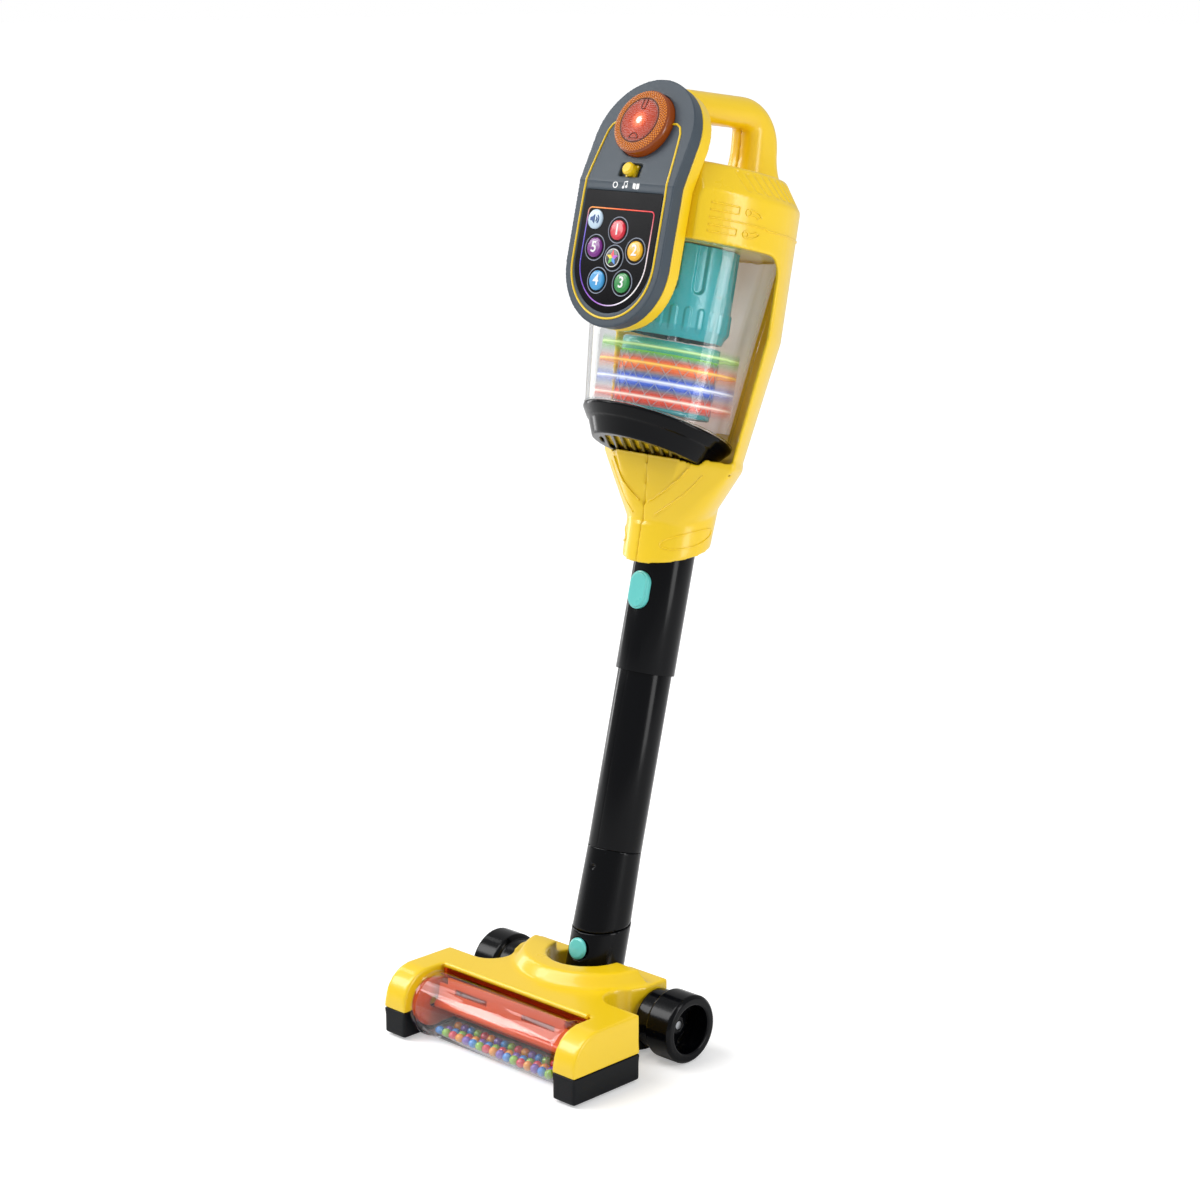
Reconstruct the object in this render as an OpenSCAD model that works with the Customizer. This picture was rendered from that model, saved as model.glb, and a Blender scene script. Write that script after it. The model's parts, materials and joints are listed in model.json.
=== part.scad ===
// Toy stick vacuum cleaner: floor head with a bead drum, tilting stick and lift-off hand unit.
// Millimetres, +Z up, front towards -Y. The origin is on the floor below the wheel axis.

/* [Head] */
// Half width over the outer sides of the arms
arm_out = 93.5; // [92:0.5:98]
// Width of each arm
arm_w = 20.5; // [18:0.5:22]
// Front of the arms, ahead of the wheel axis
arm_front = 111.5; // [109:0.5:116]
// Back of the arms, ahead of the wheel axis
arm_back = 48; // [46:0.5:50]
// Height of the flat top of the cover
cover_top = 48.5; // [47:0.5:52]
// Height of the line between cover and base
parting_z = 20.5; // [19:0.5:22]
// Clearance between base and floor
ground_gap = 1.5; // [1:0.1:2.5]
// Radius of the rounded top front edge of the arms
arm_round = 24; // [14:1:26]
// Half width of the axle housing between the wheels
housing_x = 62.5; // [61:0.5:63]
// Half width of the waist behind the arms
waist_x = 51; // [48:1:56]
// Radius of the hollow corner between arm and waist
waist_round = 16; // [10:1:18]
// Rear end of the head behind the wheel axis
head_rear = 14; // [13:0.5:16]
// Front lip of the cover above the drum, ahead of the wheel axis
lip_front = 74; // [72:0.5:76]
// Wall of the cover and the base
head_wall = 3; // [2.5:0.1:3.5]
// Radius of the round boss at its foot
boss_foot_r = 60; // [58:1:62]
// Radius of the round boss at its top edge
boss_top_r = 52; // [50:1:54]
// Height of the boss above the flat top
boss_h = 8.5; // [6:0.5:10]
// Radius of the round opening that the stick stands in
recess_r = 29; // [27:0.5:32]
// Centre of the boss behind the wheel axis
boss_y = 8; // [6:0.5:10]
// Rear ends of the crescent boss ahead of the wheel axis
boss_end = 3; // [1:0.5:6]

/* [Drum] */
// Radius of the drum at its rims, which roll on the floor
drum_r = 23.5; // [23:0.1:24]
// Thickness of the cradle's cheek at each end of the drum
cheek_t = 3; // [2.4:0.2:8]
// Drum axis ahead of the wheel axis
drum_y = 86; // [84:0.5:87]
// Wall of the drum
drum_wall = 1.5; // [1.2:0.1:2]
// Radius of the stub axles of the drum
stub_r = 4; // [3:0.5:5]
// Radius of a bead
bead_r = 3.25; // [2.75:0.05:3.3]

/* [Wheels] */
// Radius of the wheels, which sets the height of the axle
wheel_r = 24.2; // [23.5:0.1:25]
// Outer face of the wheels from the middle
wheel_out = 97.5; // [96:0.5:100]
// Width of the tyre
tyre_w = 22.5; // [20:0.5:24]
// Radius of the narrow barrel on the inner side
barrel_r = 21; // [20:0.5:22]
// Radius of the recess in the outer face
wheel_hole_r = 17; // [15:0.5:18]
// Radius of the axle
axle_r = 3; // [2.5:0.1:3.5]

/* [Stick] */
// Lean of the stick from upright, in degrees
lean = 14; // [10:0.5:18]
// Radius of the elbow
elbow_r = 20.6; // [20:0.1:21]
// Height of the slanted joint above the pivot, along the stick
elbow_top = 51; // [48:0.5:56]
// Slant of the joint above the elbow, in degrees
elbow_slant = 17; // [10:1:20]
// Wall of the elbow and the tubes
tube_wall = 3; // [2.5:0.1:3.2]
// Top of the connector along the stick
connector_top = 106; // [100:1:112]
// Radius of the lower tube
tube_r = 19.2; // [18.8:0.1:19.6]
// Lower end of the sleeve along the stick
sleeve_z = 233; // [225:1:240]
// Radius of the sleeve
sleeve_r = 21; // [20.6:0.1:21.4]
// Radius of the round release button
round_button_r = 7.75; // [7:0.25:8.5]
// Centre of the round release button along the stick
round_button_z = 33; // [31:0.5:35]
// Width of the oval release button
oval_button_w = 17; // [15:0.5:18]
// Length of the oval release button
oval_button_l = 27; // [24:0.5:30]
// Centre of the oval release button along the stick
oval_button_z = 290; // [284:1:294]

/* [Hand unit] */
// Radius of the collar at its lower edge
collar_low_r = 29.4; // [28.5:0.1:30.5]
// Radius of the collar at its ridge
collar_r = 32; // [31:0.1:33]
// Lower edge of the collar along the stick
collar_z = 320; // [317:0.5:324]
// Ridge of the collar along the stick
ridge_z = 348; // [345:0.5:351]
// Slant of the collar, in degrees
collar_slant = 21; // [18:0.5:24]
// Canister axis ahead of the stick axis
can_y = 30; // [28:0.5:32]
// Wall of the housing
shell_w = 3; // [2.5:0.1:3.5]
// Outer radius of the rear shell at its lower end
shell_low_r = 62; // [60:0.5:64]
// Outer radius of the rear shell at its widest
shell_mid_r = 74; // [72:0.5:76]
// Outer radius of the shoulder at its upper edge
shoulder_r = 72; // [71:0.5:74]
// Outer radius of the roof
roof_r = 59; // [56:0.5:62]
// Upper end of the window of the rear shell
window_top = 530; // [528:0.5:532]
// Edge of the window behind the canister axis
window_back = 16; // [12:0.5:20]
// Height of the shoulder's upper edge along the stick
shoulder_z = 565; // [563:0.5:568]
// Height of the roof along the stick
roof_z = 584; // [582:0.5:587]
// Width of the handle
handle_w = 28; // [26:0.5:30]
// Thickness of the handle's bar
handle_t = 22; // [20:0.5:23]
// Thickness of the handle's leg
leg_t = 32; // [28:0.5:34]
// Lean of the handle towards the panel, in degrees
handle_drop = 7; // [5:0.5:9]
// Height of the handle bar's centre line above the foot of its leg
handle_h = 61; // [58:0.5:64]

/* [Panel] */
// Width of the panel
panel_w = 87; // [84:0.5:90]
// Face of the panel ahead of the stick axis
panel_y = 103; // [102:0.5:105]
// Lower end of the panel along the stick
panel_low = 463; // [460:0.5:466]
// Bend of the panel along the stick
bend_z = 562; // [560:0.5:564]
// Length of the upper part of the panel above the bend
panel_up_len = 75.5; // [73:0.5:78]
// Lean of the upper part against the lower, in degrees
panel_tilt = 14.7; // [12:0.1:17]
// Thickness of the bezel
bezel_t = 10; // [9.5:0.1:11]
// Thickness of the backing
backing_t = 10; // [9.5:0.1:11]
// Width of the display
display_w = 70; // [68:0.5:72]
// Radius of a key
key_r = 6.75; // [6:0.05:7]
// Radius of the lamp lens
lamp_r = 23; // [21:0.25:24]
// Height of the lamp lens above the panel
lamp_proud = 8; // [6:0.5:10]

/* [Canister] */
// Radius of the canister at its lower end
can_low_r = 52; // [51:0.25:53]
// Radius of the canister at its upper end
can_top_r = 66; // [65:0.25:67]
// Centre of the canister's lower edge along the stick
can_z = 404; // [402:0.5:406]
// Wall of the canister
can_wall = 2; // [1.5:0.1:2.5]
// Tilt of the canister cap, in degrees
cap_tilt = 13; // [10:0.5:15]
// Radius of the upper rim of the cap
cap_r = 54; // [53.5:0.25:55]
// Radius of the lower edge of the cap
cap_low_r = 41.5; // [40:0.5:43]
// Height of the cap
cap_h = 20; // [18:0.5:21]
// Radius of the shroud
shroud_r = 37; // [35:0.5:38]
// Lower end of the shroud along the stick
shroud_z = 466; // [464:0.5:470]
// Radius of the mesh column
mesh_r = 33.5; // [32:0.5:34]
// Outer radius of the coloured rings
ring_r = 48; // [44:0.5:48.5]

/* [Clearances] */
// Gap between pieces that slide or are pressed
slide_gap = 0.3; // [0.2:0.05:0.4]
// Radial gap of an axle in its bore
run_gap = 0.08; // [0.05:0.01:0.1]
// Gap at a joint line between two bodies
seam_gap = 0.3; // [0.2:0.05:0.4]

/* [Hidden] */
$fn = 64;
eps = 0.01;
// Arcs overlap the straight sides that they join by this much
blend = 0.05;
big = 400;
arm_in = arm_out - arm_w;
cradle_gap = 1.2;
cradle_t = 2.2;
cradle_r = drum_r + cradle_gap;
drum_bay_r = cradle_r + cradle_t + 0.1;
cheek_in = arm_in - 0.2 - cheek_t;
drum_end = cheek_in - 0.8;
drum_len = 2 * drum_end;
drum_body_r = drum_r - 1;
rim_w = 4;
end_t = 2.5;
pocket_r = elbow_r + 0.6;
pocket_x = elbow_r + 1;
tilt_back = 46;
cover_cavity_top = cover_top - head_wall - 4.5;
screw_x = 42;
screw_front_y = 14;
screw_rear_y = 8.5;
screw_head_r = 3.2;
screw_head_h = 3;
screw_r = 1.5;
screw_top = 33;
hub_r = 12;
web_in = wheel_out - 19.5;
web_t = 4;
socket_r = elbow_r - tube_wall;
spigot_r = socket_r - slide_gap;
spigot_low = 18;
tube_bore_r = tube_r - tube_wall;
tube_tip_z = sleeve_z + 28;
tube_tip_r = sleeve_r - 2.4;
sleeve_bore_r = tube_tip_r + 0.1;
spigot_top = 366;
collar_bore_r = sleeve_r + slide_gap;
button_travel = 2;
neck_top = 383;
neck_front = 37;
neck_r = collar_r - 1.2;
neck_band = 4;
facet_x = 30;
ceiling_t = 3;
mid_z = panel_low + 12;
ceiling_share = (shoulder_z - window_top) / (shoulder_z - mid_z);
ceiling_r = shoulder_r + (shell_mid_r - shoulder_r) * ceiling_share - shell_w / 2;
front_wall_y = panel_y - bezel_t - backing_t - can_y - 9;
handle_bend_r = 26;
handle_leg_y = 30;
handle_leg_low = 572;
bot_c = panel_w / 2 - (bend_z - panel_low);
top_c = panel_up_len - panel_w / 2;
lamp_s = 41.3;
lamp_flange = 2.2;
lamp_seat = 5;
slider_s = 8.3;
slider_w = 18.4;
slider_h = 9.6;
slider_depth = 4;
knob_r = 4.5;
display_t = 2;
display_top = 7;
display_bot_c = -54;
key_hole_r = key_r + slide_gap;
key_flange_r = key_r + 1.4;
key_post_r = 3;
key_proud = 1.2;
board_t = 1.6;
pad_t = 2.5;
recess_z = -(bezel_t + 5);
number_keys = [[0, -33], [18.7, -46], [11.6, -68], [-11.6, -68], [-18.7, -46]];
star_key = [0, -52];
volume_key = [-22.3, -27];
all_keys = concat(number_keys, [star_key, volume_key]);
shaft_r = 4;
mesh_low = can_z + 9;
mesh_top = shroud_z - 3;
ring_zs = [456, 444.5, 433, 421.5];
ring_t = 1.2;
ring_h = 7;
cap_plate_t = 3;
cap_y = can_y + 0.5;
door_x = 29;
door_low = window_top + 8;
door_high = shoulder_z - 3;
tray_x = 27.5;
battery_r = 7.1;
battery_l = 50;
battery_y = [22, 22, 6.5];
battery_z = [window_top + 12, window_top + 27, window_top + 12];

// The stick's own frame: origin on the wheel axis, Z along the stick, Y backwards
module stick() {
    translate([0, 0, wheel_r]) rotate([-lean, 0, 0]) children();
}

// Turns a shape drawn along Z so that it lies along X
module along_x() {
    rotate([0, 90, 0]) children();
}

// Extrudes a side view drawn in Y and Z over a width centred on X
module side_extrude(width) {
    translate([-width / 2, 0, 0]) rotate([90, 0, 90]) linear_extrude(width) children();
}

module tube(r_out, r_in, z0, z1) {
    translate([0, 0, z0]) difference() {
        cylinder(r = r_out, h = z1 - z0);
        translate([0, 0, -eps]) cylinder(r = r_in, h = z1 - z0 + 2 * eps);
    }
}

// Keeps the part of a shape on one side of the middle plane; side is -1 or 1
module half(side) {
    intersection() {
        children();
        translate([side > 0 ? 0 : -big, -big, -big]) cube([big, 2 * big, 3 * big]);
    }
}

// Everything above a slanted plane, lower at the front
module above_slant(z, slant) {
    translate([0, 0, z]) rotate([slant, 0, 0]) translate([-big, -big, 0]) cube([2 * big, 2 * big, big]);
}

module below_slant(z, slant) {
    translate([0, 0, z]) rotate([slant, 0, 0]) translate([-big, -big, -big])
        cube([2 * big, 2 * big, big]);
}

// Plan view of the head with the bays of the two wheels left out
module head_plan() {
    difference() {
        translate([-arm_out, -arm_front]) square([2 * arm_out, arm_front + head_rear]);
        for (side = [-1, 1]) scale([side, 1]) wheel_bay();
    }
}

module wheel_bay() {
    bay_y = waist_round - arm_back;
    translate([waist_x + waist_round, bay_y]) circle(waist_round);
    polygon([
        [waist_x + waist_round, -arm_back], [arm_out + 10, -arm_back], [arm_out + 10, head_rear + 10],
        [housing_x, head_rear + 10], [housing_x, -arm_back / 6], [waist_x, bay_y]
    ]);
}

// Side view of the head: rounded front of the arms, flat top
module head_side() {
    difference() {
        translate([-arm_front, 0]) square([arm_front + head_rear, cover_top]);
        difference() {
            translate([-arm_front - 1, cover_top - arm_round]) square([arm_round + 1, arm_round + 1]);
            translate([-arm_front + arm_round, cover_top - arm_round]) circle(arm_round + blend);
        }
    }
}

// Space of the drum and of the cradle around it, open to the front
module drum_bay() {
    translate([-arm_in, -drum_y, drum_r]) along_x() cylinder(r = drum_bay_r, h = 2 * arm_in);
    translate([-arm_in, -arm_front - 1, -1]) cube([2 * arm_in, arm_front + 1 - drum_y, cover_top + 2]);
    translate([-arm_in, -drum_y - 1, drum_r]) cube([2 * arm_in, drum_y + 1 - lip_front, cover_top]);
}

// Space swept by the elbow from upright to the end of its tilt
module elbow_pocket() {
    translate([-pocket_x, 0, wheel_r]) along_x() cylinder(r = pocket_r, h = 2 * pocket_x);
    translate([0, 0, wheel_r]) rotate([-(lean + tilt_back), 0, 0])
        cylinder(r = pocket_r - 0.15, h = 120);
    translate([-pocket_x - 0.1, -pocket_r + 0.15, wheel_r]) cube([2 * pocket_x + 0.2, 100, 60]);
}

module screw_places() {
    for (x = [-screw_x, screw_x], y = [-screw_front_y, screw_rear_y]) translate([x, y, 0]) children();
}

module boss() {
    translate([0, boss_y, cover_top - 1]) rotate_extrude() polygon([
        [0, 0], [boss_foot_r + 1, 0], [boss_foot_r, 1], [boss_top_r + 1, boss_h],
        [boss_top_r, boss_h + 1], [0, boss_h + 1]
    ]);
}

module arm_hollow(z0, z1) {
    for (side = [-1, 1]) {
        translate([side * (arm_in + arm_w / 2) - arm_w / 2 + head_wall, -arm_front + 12, z0])
            cube([arm_w - 2 * head_wall, arm_front - 12 - arm_back - head_wall, z1 - z0]);
    }
    hollow_y = -lip_front + 18;
    translate([-waist_x + 8, hollow_y, z0]) cube([2 * waist_x - 16, -hollow_y - 27, z1 - z0]);
}

module head_cover() {
    color("gold") difference() {
        union() {
            intersection() {
                translate([0, 0, parting_z]) linear_extrude(cover_top - parting_z) head_plan();
                side_extrude(2 * big) head_side();
            }
            intersection() {
                boss();
                translate([-big, -big - boss_end, 0]) cube([2 * big, big, big]);
            }
        }
        drum_bay();
        arm_hollow(parting_z - 1, cover_cavity_top);
        translate([0, -2, wheel_r + 12]) cylinder(r = recess_r, h = big);
        elbow_pocket();
        translate([-big / 2, 0, wheel_r]) along_x() cylinder(r = axle_r + run_gap, h = big);
        screw_places() cylinder(r = screw_r + run_gap, h = screw_top);
    }
}

module head_base() {
    color("#16181b") difference() {
        translate([0, 0, ground_gap]) linear_extrude(parting_z - ground_gap) head_plan();
        translate([0, 0, -eps]) drum_bay();
        translate([-arm_in, -drum_y - 1, -1]) cube([2 * arm_in, drum_bay_r + 1, parting_z + 2]);
        arm_hollow(ground_gap + head_wall, parting_z + 1);
        elbow_pocket();
        screw_places() translate([0, 0, -1]) {
            cylinder(r = screw_r + run_gap, h = screw_top);
            cylinder(r = screw_head_r + slide_gap, h = 1 + ground_gap + screw_head_h);
        }
    }
}

module base_screws() {
    color("silver") screw_places() translate([0, 0, ground_gap + 0.2]) {
        cylinder(r = screw_head_r, h = screw_head_h - 0.2);
        cylinder(r = screw_r, h = screw_top - ground_gap - 1);
    }
}

// Orange liner behind the drum with a cheek at each end that carries the stub axle
module drum_cradle() {
    cradle_low = 7;
    color("#d8591c") difference() {
        union() {
            intersection() {
                translate([-arm_in + 0.2, -drum_y, drum_r]) along_x()
                    cylinder(r = cradle_r + cradle_t, h = 2 * arm_in - 0.4);
                translate([-arm_in, -lip_front + 0.6, cradle_low])
                    cube([2 * arm_in, big, cover_top - cradle_low - 4]);
            }
            for (side = [-1, 1]) {
                cheek = side > 0 ? cheek_in : -arm_in + 0.2;
                translate([cheek, -drum_y, drum_r]) along_x() cylinder(r = drum_r - 6, h = cheek_t);
                intersection() {
                    translate([cheek, -drum_y, drum_r]) along_x()
                        cylinder(r = cradle_r + cradle_t, h = cheek_t);
                    translate([cheek, -drum_y, cradle_low])
                        cube([cheek_t, big, 2 * drum_r - 2 * cradle_low]);
                }
            }
        }
        translate([-cheek_in, -drum_y, drum_r]) along_x() cylinder(r = cradle_r, h = 2 * cheek_in);
        translate([-big / 2, -drum_y, drum_r]) along_x() cylinder(r = stub_r + run_gap, h = big);
    }
}

module on_drum_axis() {
    translate([0, -drum_y, drum_r]) along_x() children();
}

module drum_shell() {
    color([0.95, 0.95, 0.97, 0.35]) on_drum_axis() {
        difference() {
            union() {
                translate([0, 0, -drum_end]) cylinder(r = drum_body_r, h = drum_len);
                for (side = [-1, 1]) translate([0, 0, side * (drum_end - rim_w / 2) - rim_w / 2])
                    cylinder(r = drum_r, h = rim_w);
                translate([0, 0, -arm_in + 1]) cylinder(r = stub_r, h = 2 * arm_in - 2);
            }
            translate([0, 0, -drum_end + end_t])
                cylinder(r = drum_body_r - drum_wall, h = drum_len - 2 * end_t);
        }
    }
}

// Two vanes with stepped ends and slots on a central rod, one upwards and one to the rear
module drum_paddle() {
    vane_r = drum_body_r - drum_wall - 0.6;
    vane_l = drum_len / 2 - end_t;
    color("#e8641e") on_drum_axis() {
        translate([0, 0, -vane_l]) cylinder(r = 3, h = 2 * vane_l);
        for (turn = [80, 170]) rotate([0, 0, turn]) difference() {
            translate([0, -1, -vane_l + 1]) cube([vane_r, 2, 2 * vane_l - 2]);
            for (end = [-1, 1]) {
                translate([vane_r - 5, -2, end * vane_l - 9]) cube([10, 4, 18]);
                translate([vane_r * 0.6 - 2, -2, end * vane_l * 0.5 - 16]) cube([4, 4, 32]);
            }
        }
    }
}

// Beads lie in three rows at the bottom of the drum; each colour takes every fifth place
module beads(colour) {
    row_r = drum_body_r - drum_wall - bead_r - 0.15;
    pitch = 2 * bead_r + 0.35;
    bead_count = floor((drum_len - 2 * end_t - 3) / pitch) - 1;
    on_drum_axis() for (row = [-1, 0, 1], i = [0 : bead_count - 1]) {
        if ((3 * i + 7 * row + 7) % 5 == colour)
            rotate([0, 0, row * 24])
                translate([row_r, 0, (i - (bead_count - 1) / 2 + row * 0.3) * pitch])
                    sphere(r = bead_r);
    }
}

module beads_blue() { color("deepskyblue") beads(0); }
module beads_pink() { color("crimson") beads(1); }
module beads_purple() { color("mediumpurple") beads(2); }
module beads_lime() { color("yellowgreen") beads(3); }
module beads_amber() { color("orange") beads(4); }

module wheel_axle() {
    half = web_in + web_t + 3.3;
    color("silver") translate([-half, 0, wheel_r]) along_x() cylinder(r = axle_r, h = 2 * half);
}

module axle_caps() {
    color("#202226") for (side = [-1, 1]) {
        inner = web_in + web_t + 0.3;
        start = side > 0 ? inner : -inner - 3.5;
        translate([start, 0, wheel_r]) along_x() difference() {
            cylinder(r = 6.5, h = 3.5);
            translate([0, 0, -1]) cylinder(r = axle_r + 0.02, h = 6);
        }
    }
}

// Wheel with a tyre, a narrow barrel on its inner side and a web with three windows
module wheel() {
    barrel_in = housing_x + 1;
    tyre_in = wheel_out - tyre_w;
    edge = 2;
    along_x() difference() {
        rotate_extrude() polygon([
            [axle_r + run_gap, web_in], [barrel_r - 3.5, web_in], [barrel_r - 3.5, barrel_in],
            [barrel_r, barrel_in],
            [barrel_r, tyre_in], [wheel_r - edge, tyre_in], [wheel_r, tyre_in + edge],
            [wheel_r, wheel_out - edge],
            [wheel_r - edge, wheel_out], [wheel_hole_r + 1, wheel_out], [wheel_hole_r, wheel_out - 1],
            [wheel_hole_r, web_in + web_t], [axle_r + run_gap, web_in + web_t]
        ]);
        difference() {
            translate([0, 0, web_in - 1]) cylinder(r = wheel_hole_r - 0.5, h = web_t + 2);
            translate([0, 0, web_in - 2]) cylinder(r = hub_r, h = web_t + 4);
            for (turn = [0, 120, 240]) rotate([0, 0, turn]) translate([0, -3, web_in - 2])
                cube([wheel_r, 6, web_t + 4]);
        }
    }
}

module wheel_right() { color("#121315") translate([0, 0, wheel_r]) wheel(); }
module wheel_left() { color("#121315") translate([0, 0, wheel_r]) rotate([0, 0, 180]) wheel(); }

// Elbow: knuckle on the axle and a socket that is closed above by the slanted joint
module elbow() {
    color("#17181b") stick() difference() {
        intersection() {
            translate([0, 0, -elbow_r]) cylinder(r = elbow_r, h = 120);
            below_slant(elbow_top, elbow_slant);
            union() {
                translate([-big, -big, 0]) cube(2 * big);
                translate([-elbow_r, 0, 0]) along_x() cylinder(r = elbow_r, h = 2 * elbow_r);
            }
        }
        translate([0, 0, spigot_low - 2]) cylinder(r = socket_r, h = 120);
        translate([-big / 2, 0, 0]) along_x() cylinder(r = axle_r + run_gap, h = big);
        translate([0, 0, round_button_z]) rotate([90, 0, 0])
            cylinder(r = round_button_r + slide_gap, h = big);
    }
}

module elbow_button() {
    inner = spigot_r + button_travel + 0.7;
    color("#5fc4bf") stick() translate([0, -inner, round_button_z]) rotate([90, 0, 0])
        rotate_extrude() polygon([
        [0, 0], [round_button_r, 0], [round_button_r, elbow_r - inner + 1.2],
        [round_button_r - 1.5, elbow_r - inner + 2.2],
        [0, elbow_r - inner + 2.8]
    ]);
}

module connector() {
    mark_z = 92;
    color("#17181b") stick() difference() {
        union() {
            intersection() {
                translate([0, 0, elbow_top - 15])
                    cylinder(r1 = elbow_r, r2 = tube_r, h = connector_top - elbow_top + 15);
                above_slant(elbow_top + seam_gap, elbow_slant);
            }
            translate([0, 0, spigot_low]) cylinder(r = spigot_r, h = elbow_top + 12 - spigot_low);
        }
        translate([0, 0, spigot_low - 1]) cylinder(r = tube_bore_r - 0.8, h = big);
        translate([0, -tube_r - 0.2, mark_z]) sphere(r = 1.6);
    }
}

module lower_tube(side) {
    color("#101114") stick() half(side) {
        tube(tube_r, tube_bore_r, connector_top, sleeve_z);
        tube(tube_tip_r, tube_bore_r, sleeve_z - eps, tube_tip_z);
    }
}

module lower_tube_left() { lower_tube(-1); }
module lower_tube_right() { lower_tube(1); }

// Outline of the oval button, drawn across X and along Z
module oval_outline(gap) {
    straight = oval_button_l - oval_button_w;
    for (end = [-1, 1]) translate([0, end * straight / 2]) circle(oval_button_w / 2 + gap);
    square([oval_button_w + 2 * gap, straight], center = true);
}

module sleeve(side) {
    color("#101114") stick() half(side) difference() {
        tube(sleeve_r, sleeve_bore_r, sleeve_z, spigot_top);
        translate([0, 0, oval_button_z]) rotate([90, 0, 0]) linear_extrude(big) oval_outline(slide_gap);
    }
}

module sleeve_left() { sleeve(-1); }
module sleeve_right() { sleeve(1); }

module sleeve_button() {
    inner = sleeve_bore_r - 2.4;
    color("#5fc4bf") stick() translate([0, -inner, oval_button_z]) rotate([90, 0, 0]) {
        linear_extrude(sleeve_r - inner + 1.2) oval_outline(0);
        linear_extrude(sleeve_r - inner + 2.2) oval_outline(-1.5);
    }
}

// Canister frame: axis of the canister, parallel to the stick
module on_can() {
    stick() translate([0, -can_y, 0]) children();
}

// Frame of the tilted cap, origin in the middle of its upper rim
module on_cap() {
    stick() translate([0, -cap_y, can_z]) rotate([-cap_tilt, 0, 0]) children();
}

// Side view of the window that leaves the canister open to the front
module window_side() {
    corner = 15;
    edge = window_back;
    translate([-big, 0]) square([big + edge - corner, window_top]);
    translate([-big, 0]) square([big + edge, window_top - corner]);
    translate([edge - corner, window_top - corner]) circle(corner);
}

module rear_shell() {
    difference() {
        rotate_extrude() polygon([
            [0, roof_z], [roof_r, roof_z], [shoulder_r, shoulder_z], [shell_mid_r, mid_z],
            [shell_low_r, neck_top + 1.5],
            [shell_low_r - shell_w, neck_top + 1.5], [shell_mid_r - shell_w, mid_z],
            [shoulder_r - shell_w, shoulder_z - 1], [roof_r - shell_w / 2, roof_z - shell_w],
            [0, roof_z - shell_w]
        ]);
        side_extrude(big) window_side();
    }
    translate([0, 0, window_top + 0.5]) cylinder(r = ceiling_r, h = ceiling_t - 0.5);
    intersection() {
        rotate_extrude() polygon([
            [0, window_top + 1], [ceiling_r, window_top + 1],
            [shoulder_r - shell_w / 2, shoulder_z - 0.5],
            [roof_r - shell_w / 4, roof_z - shell_w / 2], [0, roof_z - shell_w / 2]
        ]);
        translate([-big / 2, -big - front_wall_y, 0]) cube([big, big, 2 * big]);
    }
}

// Funnel between the collar's ridge and the rear shell; its front is a narrow facet
module neck_form(inset) {
    neck_fn = 48;
    half_step = 180 / neck_fn;
    band_r = shell_low_r + 1 - inset;
    hull() {
        translate([0, 0, ridge_z - 3]) rotate([collar_slant, 0, 0]) rotate([0, 0, half_step])
            cylinder(r = neck_r - inset, h = 1, $fn = neck_fn);
        translate([0, 0, neck_top - inset]) linear_extrude(neck_band + inset) intersection() {
            translate([0, -can_y]) rotate(half_step) circle(band_r, $fn = neck_fn);
            polygon([
                [-facet_x, inset - neck_front], [facet_x, inset - neck_front],
                [band_r + 2, -can_y + window_back + 2],
                [band_r + 2, big], [-band_r - 2, big], [-band_r - 2, -can_y + window_back + 2]
            ]);
        }
    }
}

module collar() {
    cone_low = collar_z - 20;
    cone_high = ridge_z + 20;
    intersection() {
        translate([0, 0, cone_low])
            cylinder(r1 = collar_low_r, r2 = collar_r, h = cone_high - cone_low);
        above_slant(collar_z, collar_slant);
        below_slant(ridge_z, collar_slant);
    }
}

// Section of the handle, drawn across X and its thickness
module handle_section() {
    straight = handle_w - handle_t;
    for (side = [-1, 1]) translate([side * straight / 2, 0]) circle(handle_t / 2);
    square([straight, handle_t], center = true);
}

// Frame of the handle: origin in the foot of its leg, leaning towards the panel
module handle_frame() {
    translate([0, handle_leg_y, handle_leg_low]) rotate([handle_drop, 0, 0]) children();
}

// Bar, bend and leg; two shorter legs in front make the leg as thick as the palm rest is
module handle() {
    bar_l = 84;
    leg_l = handle_h - handle_bend_r;
    leg_step = (leg_t - handle_t) / 2;
    leg_lengths = [leg_l, leg_l + handle_bend_r / 2, leg_l + handle_bend_r * 0.73];
    handle_frame() {
        translate([0, -handle_bend_r, handle_h]) rotate([90, 0, 0]) linear_extrude(bar_l)
            handle_section();
        translate([0, -handle_bend_r, leg_l]) rotate([0, 0, 90]) rotate([90, 0, 0])
            rotate_extrude(angle = 90)
            translate([handle_bend_r, 0]) rotate([0, 0, 90]) handle_section();
        for (i = [0 : 2]) translate([0, -i * leg_step, 0]) linear_extrude(leg_lengths[i])
            handle_section();
    }
}

// Space in front of the panel's back face, which the housing leaves free
module panel_space() {
    back = bezel_t + backing_t + 0.1;
    panel_low_frame() translate([-big / 2, -big, -back]) cube([big, big, big]);
    panel_up_frame() translate([-big / 2, -40, -back]) cube([big, big, big]);
}

module door_block(gap) {
    translate([-door_x - gap, 30, door_low - gap])
        cube([2 * (door_x + gap), 60, door_high - door_low + 2 * gap]);
}

module housing_screw_places() {
    translate([0, 25.5, ridge_z + 4]) children();
    handle_frame() {
        translate([0, 0, roof_z - handle_leg_low + 12]) children();
        translate([0, -82, handle_h]) children();
    }
}

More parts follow.
